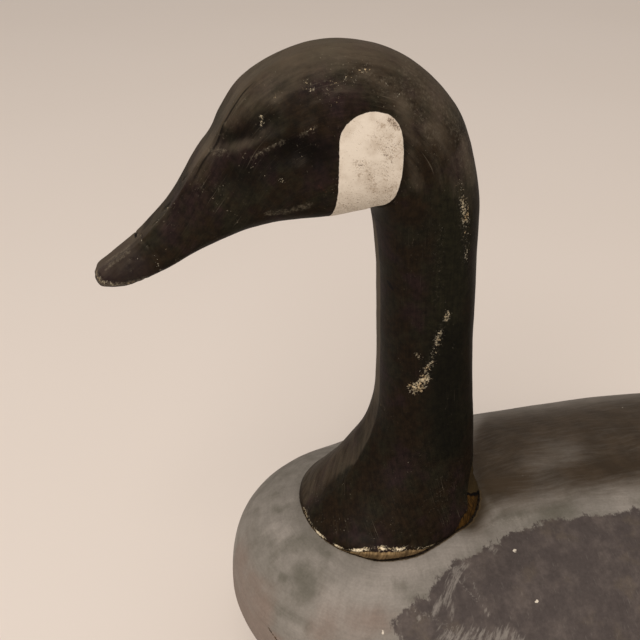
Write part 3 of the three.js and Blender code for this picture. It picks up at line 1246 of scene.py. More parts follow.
HEAD_MARKS = (
    *mark_rows(
        Wear.CHIPS, Face.LEFT,
        (4.2, 0.92, (-23, 338), (-25.5, 327)), (3.4, 0.7, (-20, 348), (-22, 340)),
        (3.4, 0.74, (-26, 324), (-27, 317)), (2.6, 0.78, (-27, 314), (-27.5, 306)),
        (3.4, 0.95, (-19.3, 279), (-18.4, 276)), (4.2, 0.85, (-15.9, 268), (-14.4, 262)),
        (3.6, 0.8, (-13.8, 258), (-11, 247)), (4.4, 0.86, (-11.5, 250), (-9, 246)),
        (4.8, 1.0, (-10, 242), (-7, 238), (-4, 235.5)), (3.4, 0.98, (-8.5, 236), (-5, 234)),
        (2.4, 0.86, (-4.5, 256), (-7, 253.5)), (3.4, 0.55, (3, 251), (1, 247)),
        (5.0, 0.5, (-13, 324), (-12, 312)), (4.0, 0.45, (-14, 294), (-15, 284)),
        (1.4, 0.7, (-23, 262), (-24, 257)), (1.0, 0.8, (-30, 253)),
        (1.2, 0.8, (-2.5, 192.5), (-1, 188)), (1.6, 0.72, (8, 216)), (1.0, 0.8, (-36, 199)),
        (0.9, 0.8, (5, 160)), (5.0, 0.48, (-20, 178), (-22, 166)), (2.0, 0.92, (70, 383), (69.5, 379)),
        (1.8, 0.72, (64, 391), (62, 393)), (1.2, 0.8, (62, 399.5)), (2.2, 0.9, (50, 397), (48, 394)),
        (4.0, 0.6, (52, 396), (46, 391)), (5.0, 0.7, (41, 394), (31, 398)),
        (4.0, 0.55, (46, 388), (36, 390)), (2.6, 0.8, (27, 400), (23, 400.5)),
        (2.4, 0.68, (18, 396), (9, 389)), (5.0, 0.48, (4, 384), (-4, 372)),
        (1.2, 1.0, (63.4, 356.5), (62, 355.5)), (0.7, 0.9, (70, 358)),
        (1.5, 0.72, (74.5, 366.5), (68.5, 370.5), (62, 374)), (1.3, 0.9, (54, 375.5)),
        (1.6, 0.85, (51, 377.5), (48, 379)), (0.8, 0.9, (115, 323)), (1.5, 0.72, (99, 348)),
        (1.4, 0.7, (88, 352)), (0.9, 0.95, (125.5, 325.2)), (0.8, 0.8, (122.8, 323.6)),
        (0.8, 0.8, (121, 320.4)), (0.8, 0.75, (119.2, 316.5), (118.4, 312.5), (117.5, 311)),
        (2.8, 0.84, (148, 309), (145, 307), (139, 306.5)), (2.6, 0.72, (138, 306), (126, 308)),
        (2.6, 0.6, (120, 322), (118.5, 312)), (2.4, 0.55, (133, 316), (126, 319)),
        (2.6, 0.92, (52, 151), (49, 147)), (2.2, 0.6, (15, 325)),
    ),
    *mark_rows(
        Wear.ROSE, Face.LEFT,
        (13.0, 1.0, (-20, 338), (-20, 280), (-24, 200)),
    ),
    # Painted shade under the brow and round the eye, and darker low on the neck.
    *mark_rows(
        Wear.SHADE, Face.LEFT,
        (3.0, 0.2, (84, 373), (74, 374.5), (64, 373)), (6.0, 0.7, (60, 371), (50, 368), (42, 371)),
        (12.0, 0.9, (-20, 262), (-24, 200)),
    ),
    # Pale places add to the dust and painted sheen on the crown and nape, and are painted highlight on the
    # brow's ridges.
    *mark_rows(
        Wear.PALE, Face.LEFT,
        (11.0, 0.5, (-6, 374), (-14, 360), (-25, 342)), (6.0, 0.3, (100, 356), (90, 374), (80, 387)),
        (5.5, 0.42, (82, 380), (76, 384), (66, 390)), (4.0, 0.3, (90, 370), (80, 371)),
        (5.5, 0.5, (9, 384), (4, 368), (2, 350)), (6.0, 0.75, (-23, 362), (-28, 346)),
        (5.0, 0.3, (88, 376), (76, 381)),
    ),
    *mark_rows(
        Wear.SCUFFS, Face.LEFT,
        (2.8, 0.95, (148.5, 309), (145, 306), (138, 306), (126, 308)),
        (2.0, 0.8, (74.5, 366), (68.5, 370), (61, 373.5)), (2.4, 0.7, (54, 376), (48, 379)),
        (2.8, 0.85, (69, 339), (60, 340), (51, 343)), (0.8, 0.6, (48, 354), (43, 350)),
        (6.0, 0.5, (50, 396), (30, 398)), (7.0, 0.6, (24, 399), (8, 390), (-6, 372)),
        (11.0, 0.6, (4, 396), (-18, 374), (-28, 350)), (5.0, 0.5, (88, 372), (82, 380)),
        (3.6, 0.7, (93, 366), (86, 367)), (3.0, 0.5, (99, 351), (88, 353)),
        (0.9, 0.9, (131, 320.5), (138.5, 315.5), (143, 312)), (3.0, 0.45, (134, 312), (128, 315)),
        (4.5, 0.5, (-22, 338), (-26, 305)), (5.5, 0.5, (-17, 272), (-8.5, 238)),
        (6.0, 0.45, (-12, 326), (-14, 286)), (10.0, 0.4, (-20, 180), (-25, 165)),
        (6.0, 0.35, (20, 160), (-20, 152)),
    ),
    *mark_rows(
        Wear.CHIPS, Face.TOP,
        (1.8, 0.85, (112, 3.5), (114, 1.5)), (1.3, 0.8, (119.5, 4.5), (117, 5)),
        (1.4, 0.72, (102.5, 3), (104, 1)),
    ),
    *mark_rows(
        Wear.RUST, Face.LEFT,
        (0.8, 0.7, (47, 353.5), (43.5, 350)),
    ),
    *mark_rows(
        Wear.CHIPS, Face.RIGHT,
        (2.4, 0.8, (-22, 300), (-20, 285)), (3.0, 0.9, (-4, 228)), (1.8, 0.7, (66, 372), (58, 376)),
        (3.5, 0.65, (40, 397), (20, 399)), (1.4, 0.8, (30, 147.5), (-10, 147)),
        (1.6, 0.8, (147, 308), (139, 305.5)),
    ),
    *mark_rows(
        Wear.SCUFFS, Face.RIGHT,
        (6.0, 0.5, (30, 399), (-2, 378)), (2.4, 0.7, (72, 367), (60, 372)),
    ),
)

CHEEK_PATCH = (
    (34.5, 379.8), (37.4, 375), (37.9, 366), (38.1, 356), (38.3, 344), (39.3, 334), (42, 322), (22, 322),
    (21.5, 336.4), (15.2, 338.2), (12, 341.8), (10.4, 347), (9.3, 354), (8.8, 362), (8.9, 368.5), (9.7, 375),
    (11.6, 379), (14.4, 382), (18, 383.5), (22, 384.3), (26, 384.1), (30.5, 382.6),
)

FOREHEAD_EDGE = ((68, 8.8), (75.6, 9.4), (80, 9.7), (87, 9.0), (97, 9.2), (106, 9.8))

FOOT_CORNER = ((-50, 9), (-46, 20), (-39, 29))

CORNER_PAINT = (
    (128, 0), (132.5, 4.4), (136.5, 7.2), (142.5, 10), (146.5, 13), (150.5, 17), (157, 24), (168, 29),
    (182, 20), (196, 5), (204, 0),
)

CORNER_SPLIT = ((140, 24), (149, 15.5), (158, 9.5), (168, 3.5), (176, -2))

HEAD_NICKS = (
    SmallCut((7.9, 13.0, 292.0), (5.0, 0.8, 3.2), (30.0, 0.0, 0.0)),
    SmallCut((127.6, -3.2, 323.6), (3.2, 0.5, 2.2), (-25.0, 0.0, 0.0)),
)

PATCH_WEAR = spot_rows(
    (1.5, 1.25, (15.1, 380.4), (11.6, 376.8)), (0.9, 0.95, (20.8, 380), (17.8, 378)),
    (7.0, 0.5, (20, 373), (11, 368)), (3.6, 0.62, (19, 369.5), (13, 366)),
    (1.0, 1.05, (18.1, 366.7), (14.8, 364.1)), (0.9, 0.9, (16.5, 366.4), (14, 362.6)),
    (1.8, 0.72, (31.2, 363.6), (25.8, 362.4)), (6.0, 0.46, (28, 361), (20, 356)),
    (0.9, 1.4, (29, 357.2)), (3.4, 0.7, (24.6, 357.5), (21.8, 349.3)),
    (5.0, 0.46, (18, 361), (16, 348)), (3.4, 0.62, (16, 347.5), (12.5, 349.3)),
    (2.6, 0.66, (36, 342.2), (28.3, 338.2)), (2.6, 0.6, (22, 342.8), (14.1, 342.3)),
)


@dataclass
class HeadAndNeck:
    """Head, bill, neck and flared foot, carved as one piece and standing in the seat.

    Angles are in degrees, from the front over the left side.
    """

    placement: Placement
    ribs: tuple[Rib, ...] = HEAD_RIBS
    hollows: tuple[Spot, ...] = HEAD_HOLLOWS
    marks: tuple[Mark, ...] = HEAD_MARKS
    nicks: tuple[SmallCut, ...] = HEAD_NICKS

    # How the mesh is laid out.
    fine_steps: int = 4000
    section_steps: int = 160
    columns: int = 88
    spacing: float = 0.92
    bill_spacing: float = 0.5
    bill_rib: int = 16
    bill_x: float = 105.0
    front_share: float = 0.4
    shares: tuple[str, ...] = ("wide", "front_square", "back_square")

    # Carving, tool facets and chips.
    sides: Levels = Levels(5.0, 15.0)
    facets: Ripples = Ripples(22.0, 3, 2, 0.28)
    tool_marks: Ripples = Ripples(5.0, 4, 3, 0.05)
    chip_edge: Ripples = Ripples(2.2, 6, 3, 0.25)
    chip_depth: Levels = Levels(0.35, 0.8, 0.3)
    pit_depth: float = 0.5

    # The cheek patch and its dirt.
    patch: Line = CHEEK_PATCH
    patch_rise: Levels = Levels(-0.5, 0.5, 0.12)
    patch_wear: tuple[Spot, ...] = PATCH_WEAR
    patch_film: float = 0.16
    patch_low: Levels = Levels(356.0, 342.0, 0.28)
    patch_rear: Levels = Levels(22.0, 12.0, 0.14)

    # The break across the bill's tip.
    break_point: tuple[float, float, float] = (124.8, 7.0, 325.9)
    break_facing: tuple[float, float, float] = (0.905, 0.25, -0.34)
    break_wander: Ripples = Ripples(3.0, 11, 2, 0.35)
    break_width: float = 0.5
    break_depth: float = 0.11
    break_deeper: Levels = Levels(1.0, -3.0, 2.0)
    break_dark: Levels = Levels(0.7, 0.2)
    break_gaps: Ripples = Ripples(3.0, 21, 2)
    break_gap_levels: Levels = Levels(-0.1, 0.3)
    break_dark_left: float = 0.2
    break_dark_right: Levels = Levels(3.0, -2.0, 0.8)
    tip: Levels = Levels(-1.0, 9.0)

    # The bare wood at the foot, its near edge and its rear corner.
    shoulder_height: float = 5.2
    shoulder_curve: float = 0.0021
    bare_height: float = 4.9
    bare_angles: Band = Band((44.0, 66.0), (110.0, 86.0))
    bare_rim: Levels = Levels(-0.8, 0.8)
    bare_depth: float = 0.35
    bare_corner_depth: float = 0.4
    bare_share: float = 0.6
    bare_hacks: Ripples = Ripples(4.0, 9, 3, 0.8)
    bare_limits: tuple[float, float] = (-6.0, 6.0)
    corner: Spot = Spot(7.0, 1.0, FOOT_CORNER)
    corner_swell: float = 2.6
    corner_height: Levels = Levels(161.0, 151.0)
    corner_paint: Line = CORNER_PAINT
    corner_split: Line = CORNER_SPLIT
    split_wander: Ripples = Ripples(4.0, 71, 2, 1.3)
    near_edge: Spot = Spot(10.0, 1.7, ((16, 43), (6, 45), (-2, 45)))
    near_edge_height: Levels = Levels(150.0, 146.0)
    amber: Band = Band((120.0, 131.0), (220.0, 205.0))
    edge_angles: Band = Band((-4.0, 8.0), (118.0, 106.0))
    edge_rise: float = 1.1
    edge_width: float = 1.6
    edge_share: float = 0.95
    edge_gaps: Ripples = Ripples(7.0, 51, 2, 1.1)

    # The foot's front and the waist over it.
    flank_hollow: Band = Band((147.0, 156.0), (184.0, 168.0), 3.0)
    waist_swell: Band = Band((180.0, 190.0), (214.0, 200.0), 1.8)
    flank_front: Levels = Levels(6.0, 22.0)

    # Where paint is plain and darker as painted shade on the neck, and where dust and painted sheen lie.
    neck: Band = Band((160.0, 195.0), (345.0, 322.0))
    neck_front: float = 60.0
    upward: Levels = Levels(0.1, 0.97)
    upward_height: Levels = Levels(170.0, 300.0)
    bill_fade: Levels = Levels(100.0, 115.0, 0.3)
    shade_fade: float = 0.8
    flank_sheen: Line = ((150, 6.5), (165, 4.2), (178, 7.2), (187, 20))
    flank_sheen_top: float = 182.0
    facet_edge: float = 0.8
    flank_edge: float = 0.3
    facet_facing: Levels = Levels(0.15, 0.4)
    facet_height: Band = Band((146.0, 152.0), (330.0, 315.0))
    waist_fade: Levels = Levels(232.0, 205.0, 0.45)
    flank_more: Levels = Levels(192.0, 172.0, 0.08)
    facet_right: Line = ((170, 34), (205, 15))
    facet_right_edge: Levels = Levels(-8.0, 2.0)

    # The forehead's flat and its crease, for a painted highlight on the flat and a painted shadow in the
    # crease.
    forehead_edge: Line = FOREHEAD_EDGE
    crown_run: Band = Band((70.0, 76.0), (104.0, 94.0))
    crown_height: Levels = Levels(335.0, 345.0)
    crown_facing: Levels = Levels(-0.1, 0.2)
    depth_limits: tuple[float, float] = (-4.0, 4.0)

    def curve(self, fields: tuple[str, ...], steps: Points) -> Points:
        """Values of the ribs along the neck and head, smoothed together."""
        rows = [np.hstack([getattr(rib, field) for field in fields]) for rib in self.ribs]
        return centripetal(np.array(rows, float), steps)

    def steps(self) -> Points:
        """Where the rings stand, counted in ribs, close together on the bill.

        Returns:
            The rings' places, in order.
        """
        fine = np.linspace(0, len(self.ribs) - 1, self.fine_steps)
        front, back = self.curve(("front",), fine), self.curve(("back",), fine)
        middle = self.front_share * front + (1 - self.front_share) * back
        share = smooth_step(fine, self.bill_rib - 1, self.bill_rib + 1)
        return spaced(fine, middle, self.spacing + (self.bill_spacing - self.spacing) * share)

    def rings(self, steps: Points) -> Points:
        """The carved form before its finer relief.

        Args:
            steps: Where the rings stand, counted in ribs.

        Returns:
            Points as rings by columns by 3.
        """
        front, back = self.curve(("front",), steps), self.curve(("back",), steps)
        half, strip = self.curve(("half", "strip"), steps).T[:, :, None]
        wide, front_square, back_square = self.curve(self.shares, steps).T[:, :, None]
        facet = self.curve(("facet",), steps)
        strip, facet = np.maximum(strip, 0.0), np.maximum(facet, 0.0)
        turn = np.linspace(0, np.pi / 2, self.section_steps)[None, :]
        back_across = strip + (half - strip) * bend(np.sin(turn), back_square)
        back_up = wide + (1 - wide) * bend(np.cos(turn), back_square)
        reach = wide / (1 - (facet / half) ** front_square) ** (1 / front_square)
        front_across = half * bend(np.cos(turn[:, 1:]), front_square)
        front_up = np.maximum(wide - reach * bend(np.sin(turn[:, 1:]), front_square), 0.0)
        ends = np.zeros_like(half)
        across = np.hstack([ends, back_across, front_across, ends])
        up = np.hstack([ends + 1, back_up, front_up, ends])
        spine = front[:, None, :] + (back - front)[:, None, :] * up[:, :, None]
        halves = np.stack([spine[:, :, 0], across, spine[:, :, 1]], axis=-1)
        return spread_columns(halves, np.ones(halves.shape[1] - 1), self.columns)

    def break_distance(self, points: Points) -> Points:
        """Distance from the line where the bill's tip was broken and set back, positive at the tip.

        Args:
            points: One row for each point.

        Returns:
            Millimetres for each point.
        """
        facing = Vector(self.break_facing).normalized()
        plain = (points - np.array(self.break_point)) @ np.array(facing)
        return plain + self.break_wander.at(points)

    def break_shadow(self, points: Points) -> Points:
        """The dark line where the bill's tip was broken, with gaps in it.

        Args:
            points: One row for each point.

        Returns:
            Numbers from 0 to 1.
        """
        x, y, _ = points.T
        dark = self.break_dark.at(np.abs(self.break_distance(points))) * (x > self.bill_x)
        dark *= self.break_gap_levels.at(self.break_gaps.at(points))
        return dark * (self.break_dark_left + self.break_dark_right.at(y))

    def angle(self, points: Points) -> Points:
        """Each point's direction from the neck's middle, from -180 to 180."""
        return np.degrees(np.arctan2(points[:, 1], points[:, 0]))

    def shoulder(self, points: Points) -> Points:
        """How high the body's back stands beside each point, above the foot's underside."""
        return np.maximum(self.shoulder_height - self.shoulder_curve * points[:, 1] ** 2, 0.0)

    def height(self, points: Points) -> Points:
        """How far each point stands above the body's back."""
        return points[:, 2] - self.ribs[0].front[1] - self.shoulder(points)

    def bare_limit(self, points: Points) -> Points:
        """How far above the foot's underside the wood is bare, less the point's own height.

        Args:
            points: One row for each point.

        Returns:
            Millimetres for each point, negative on the paint.
        """
        angle = self.angle(points) % 360
        bare = self.bare_height * self.bare_angles.at(angle)
        return bare + read_line(self.corner_paint, angle) - self.height(points)

    def edge_chips(self, points: Points) -> Points:
        """Chips along the paint's lower edge on the near side.

        Args:
            points: One row for each point.

        Returns:
            Numbers from 0 to about 1.3.
        """
        off = (self.bare_limit(points) + self.edge_rise) / self.edge_width
        near = bell(off) * self.edge_angles.at(self.angle(points))
        return near * (self.edge_share + self.edge_gaps.at(points))

    def swell(self, points: Points) -> Points:
        """How far the bare wood of the foot stands out.

        Args:
            points: One row for each point.

        Returns:
            Millimetres for each point.
        """
        flat, z = points[:, :2], points[:, 2]
        out = self.corner_swell * self.corner.at(flat) * self.corner_height.at(z)
        return out + self.near_edge.at(flat) * self.near_edge_height.at(z)

    def flank(self, points: Points) -> Points:
        """How far the foot's front is hollowed under the waist, and swells at it, in millimetres inward."""
        x, _, z = points.T
        return (self.flank_hollow.at(z) - self.waist_swell.at(z)) * self.flank_front.at(x)

    def patch_inside(self, points: Points) -> Points:
        """How far points lie inside the cheek patch, negative outside it."""
        return outline_depth(points[:, SIDE_PLANE], rounded(self.patch))

    def carving(self, points: Points) -> Points:
        """The depth of the hollows on the head's sides."""
        return sum(hollow.at(points[:, SIDE_PLANE]) for hollow in self.hollows)

    def relief(self, points: Points) -> Points:
        """How deep the finer carving and wear go at each point.

        Args:
            points: One row for each point.

        Returns:
            Millimetres inward.
        """
        x, y, _ = points.T
        depth = self.sides.at(np.abs(y)) * self.carving(points)
        depth += self.facets.at(points) + self.tool_marks.at(points)
        fields = wear_fields(self.marks, points)
        depth += self.chip_depth.at(fields["chips"] + self.chip_edge.at(points))
        depth += self.pit_depth * fields["pits"]
        depth -= self.patch_rise.at(self.patch_inside(points))
        notch = self.break_depth * (1 + self.break_deeper.at(y)) * (x > self.bill_x)
        depth += notch * bell(self.break_distance(points) / self.break_width)
        bare = self.bare_depth + self.bare_corner_depth * self.corner.at(points[:, :2])
        bare *= self.bare_rim.at(self.bare_limit(points))
        depth += bare * (self.bare_share + self.bare_hacks.at(points))
        return depth - self.swell(points) + self.flank(points)

    def facet_sheen(self, points: Points, normals: Points) -> Points:
        """Painted sheen on the neck's front facet and the foot's front, from 0 to about 1.

        Args:
            points: One row for each point.
            normals: The outward direction at each point, in the frame.

        Returns:
            One number for each point.
        """
        _, y, z = points.T
        stem = [rib for rib in self.ribs if rib.facet]
        strip = np.interp(z, [rib.front[1] for rib in stem], [rib.facet for rib in stem])
        strip = np.minimum(strip, read_line(self.flank_sheen, z))
        soft = self.facet_edge + self.flank_edge * np.maximum(self.flank_sheen_top - z, 0)
        dust_and_sheen = smooth_step((y - strip) / soft, 1, -1)
        dust_and_sheen *= self.facet_facing.at(-normals[:, 1]) * self.facet_height.at(z)
        dust_and_sheen *= 1 - self.waist_fade.at(z) + self.flank_more.at(z)
        return dust_and_sheen * self.facet_right_edge.at(y + read_line(self.facet_right, z))

    def head_fields(self, points: Points, normals: Points) -> dict[str, Points]:
        """What the paint needs to know on the bill, the crown and the cheek patch.

        Args:
            points: One row for each point.
            normals: The outward direction at each point, in the frame.

        Returns:
            One field for each attribute.
        """
        x, y, z = points.T
        film = self.patch_film + self.patch_low.at(z) + self.patch_rear.at(x)
        worn = [spot.at(points[:, SIDE_PLANE]) for spot in self.patch_wear]
        crown = self.crown_run.at(x) * self.crown_height.at(z) * self.crown_facing.at(normals[:, 2])
        return {
            "tip": self.tip.at(self.break_distance(points)) * (x > self.bill_x),
            "crest": np.clip(np.abs(y) - read_line(self.forehead_edge, x), *self.depth_limits),
            "crown": crown,
            "patch": np.clip(self.patch_inside(points), *self.depth_limits),
            "grubby": np.maximum.reduce([film, *worn]),
        }

    def fields(self, points: Points, normals: Points, brush: Points) -> dict[str, Points]:
        """What the paint needs to know at each point.

        Args:
            points: One row for each point.
            normals: The outward direction at each point, in the frame.
            brush: How far each point is along and across the brush's run.

        Returns:
            One field for each attribute.
        """
        x, _, z = points.T
        angle = self.angle(points) % 360
        fields = wear_fields(self.marks, points) | self.head_fields(points, normals)
        fields["pits"] = np.maximum(fields["pits"], self.break_shadow(points))
        fields["chips"] = np.maximum(fields["chips"], self.edge_chips(points))
        fields["bare"] = np.clip(self.bare_limit(points), *self.bare_limits)
        fields["amber"] = self.amber.at(angle)
        above = self.height(points) - read_line(self.corner_split, angle)
        fields["filler"] = np.clip(above + self.split_wander.at(points), *self.depth_limits)
        # The neck's band, where the paint is darker as painted shade and scratches are sparser.
        fields["neck"] = self.neck.at(z) * (x < self.neck_front)
        # Dust and painted sheen on faces that look up, and painted sheen on the neck's front facet.
        dust_and_sheen = self.upward.at(normals[:, 2]) * self.upward_height.at(z) + fields["pale"]
        dust_and_sheen *= 1 - self.bill_fade.at(x)
        dust_and_sheen *= 1 - self.shade_fade * np.clip(fields["shade"], 0, 1)
        fields["dust_and_sheen"] = dust_and_sheen + self.facet_sheen(points, normals)
        # The hollows' depth, for painted shade in them and painted highlight on their ridges.
        fields["carve"] = self.carving(points)
        fields["brush"] = brush
        return fields

    def brush_run(self, rings: Points) -> Points:
        """How far each point is along the neck and round it, one row for each.

        Args:
            rings: The form's points, as rings by columns by 3.

        Returns:
            Rows of two lengths and a 0.
        """
        runs = np.linalg.norm(np.diff(rings, axis=0), axis=2).mean(axis=1)
        along = np.repeat(np.concatenate([[0], np.cumsum(runs)])[:, None], rings.shape[1], axis=1)
        around = np.cumsum(np.linalg.norm(np.roll(rings, -1, axis=1) - rings, axis=2), axis=1)
        return np.stack([along, around, np.zeros_like(along)], axis=-1).reshape(-1, 3)

    def placed_nicks(self) -> tuple[SmallCut, ...]:
        """The small dark cuts, with their middles in the frame."""
        to_frame = self.placement.to_frame
        return tuple(replace(nick, place=to_frame(np.array(nick.place)).tolist()) for nick in self.nicks)

    def build(self) -> bpy.types.Object:
        """Makes the piece, finished and riding on the frame.

        Returns:
            The piece.
        """
        rings = self.rings(self.steps())
        depth = self.relief(rings.reshape(-1, 3)).reshape(rings.shape[:2])
        carved = rings - grid_normals(rings) * depth[..., None]
        carved[..., 2] = np.maximum(carved[..., 2], self.ribs[0].front[1])
        mesh = closed_mesh("head_and_neck_carved", self.placement.to_frame(carved))
        every = np.vstack([carved.reshape(-1, 3), carved[[0, -1]].mean(axis=1)])
        brush = self.brush_run(rings)
        brush = np.vstack([brush, brush[[0, -1]]])
        store(mesh, self.fields(every, vertex_normals(mesh), brush))
        mesh.materials.append(HeadPaint().material(self.placed_nicks()))
        piece = linked("head_and_neck_carved", mesh)
        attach(piece, "root")
        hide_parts("head_and_neck")
        LOG.info("%s: %d faces", piece.name, len(mesh.polygons))
        return piece

    def foot_outline(self) -> Points:
        """The foot's underside, seen from above.

        Returns:
            One row of two numbers for each point, in order.
        """
        ring = self.rings(np.zeros(1))[0]
        run = np.roll(ring, -1, axis=0) - np.roll(ring, 1, axis=0)
        run /= np.linalg.norm(run, axis=1, keepdims=True)
        outward = np.column_stack([run[:, 1], -run[:, 0]])
        outward *= np.sign((outward * ring[:, :2]).sum(axis=1, keepdims=True))
        return ring[:, :2] + outward * self.swell(ring)[:, None]


@dataclass(frozen=True)
class Station:
    """One section across the body."""

    x: float
    half: float
    top: float
    wide: float
    under: float
    square: float


BODY_STATIONS = (
    Station(-508, 44, 114, 104, 30, 2.3),
    Station(-440, 62, 119, 97, 44, 2.2),
    Station(-360, 90, 131, 90, 62, 2.15),
    Station(-260, 114, 144, 85, 82, 2.1),
    Station(-160, 122, 149.5, 85, 90, 1.95),
    Station(-90, 121, 149.5, 85, 90, 1.92),
    Station(-50, 118, 147.5, 86, 86, 1.95),
    Station(0, 113, 147, 87, 76, 2),
    Station(50, 102, 147, 90, 52, 2.12),
    Station(92, 97, 147, 91, 42, 2.15),
)

BODY_MARKS = (
    *mark_rows(
        Wear.PALE, Face.TOP,
        (7.0, 0.6, (70, 8), (64, 14)), (11.0, 0.7, (44, 58), (32, 60), (18, 60)),
        (8.0, 0.7, (14, 54), (-14, 50), (-38, 40)), (4.0, 0.7, (-38, 39), (-50, 30), (-64, 20)),
        (6.0, 0.42, (-57, 33), (-72, 36)), (4.0, 0.9, (-46, 49.5)),
        (7.0, 0.74, (-8, 89), (-24, 91), (-42, 93.5)), (5.5, 0.78, (-27, 56), (-18, 64), (-12, 74)),
        (2.4, 0.75, (-12, 68), (-3, 79)), (2.2, 0.7, (-15, 74), (-12, 84)),
        (1.6, 0.7, (-29, 66), (-30, 76), (-32, 83)), (2.0, 0.65, (6, 72), (4, 78)),
        (9.0, 0.7, (-240, 96), (-280, 90)), (8.0, 0.7, (-380, 60), (-410, 50)),
        (9.0, 0.7, (-150, -104), (-190, -100)),
    ),
    # Painted shade under the foot's front, on the breast's far slope and along its chine, with darker
    # green-grey paint elsewhere.
    *mark_rows(
        Wear.SHADE, Face.TOP,
        (8.0, 0.62, (60, 24), (52, 27), (44, 32)), (6.5, 0.8, (60, 40), (57, 50)),
        (8.0, 0.4, (14, 62), (4, 65)), (9.0, 0.7, (-58, 28), (-74, 34), (-98, 34)),
        (2.4, 0.7, (61, 44), (57, 48)), (2.4, 0.65, (70, 37), (68, 39)), (2.0, 0.7, (57, 26)),
        (5.0, 0.6, (66, -7), (63, -3)), (2.2, 0.5, (87, 22), (80, 37), (72, 49), (60, 63)),
        (8.0, 0.35, (82, 8), (74, 30)), (20.0, 0.4, (68, -30), (52, -48), (34, -60)),
    ),
    # Painted reflection of light bounced from the floor on the breast's low faces.
    *mark_rows(
        Wear.ROSE, Face.TOP,
        (7.0, 0.7, (90, 0), (89, 20), (80, 43)), (10.0, 0.6, (52, 64), (38, 71), (24, 74)),
    ),
    *mark_rows(
        Wear.RUST, Face.LEFT,
        (0.8, 0.7, (79, 105), (75, 101)),
    ),
    *mark_rows(
        Wear.PITS, Face.TOP,
        (1.0, 0.7, (-8, 47.6)), (0.9, 0.6, (3.5, 49)),
    ),
    *mark_rows(
        Wear.CHIPS, Face.TOP,
        (1.4, 1.0, (-57.6, 53)), (1.1, 0.9, (-59, 80.4), (-60, 81)), (1.1, 0.7, (-50, 54.5)),
        (1.4, 0.8, (24, 79.5)), (1.2, 0.8, (-180, -60)), (1.4, 0.8, (-300, 40)),
        (1.3, 0.7, (-420, -12)),
    ),
    *mark_rows(
        Wear.SCUFFS, Face.TOP,
        (1.7, 0.6, (-78, 2.5), (-90, 4), (-100, 7)), (1.8, 0.75, (-20, 61), (-23, 67), (-28, 75)),
        (3.4, 0.7, (-46, 36), (-58, 33), (-70, 34)), (4.0, 0.6, (-30, 50), (-46, 42)),
        (4.0, 0.6, (8, 72), (-4, 80), (-14, 90)), (3.0, 0.6, (-250, 20), (-330, 26)),
    ),
)

WING_PAINT = (
    (16, 112), (15, 101), (20, 92), (10, 83), (-1, 75), (-22, 58), (-36, 54), (-50, 48), (-60, 42.5),
    (-87, 42.5), (-200, 44), (-330, 40), (-430, 30), (-520, 12), (-520, 70), (-400, 118), (-250, 148),
    (-100, 148), (-10, 140), (12, 130),
)


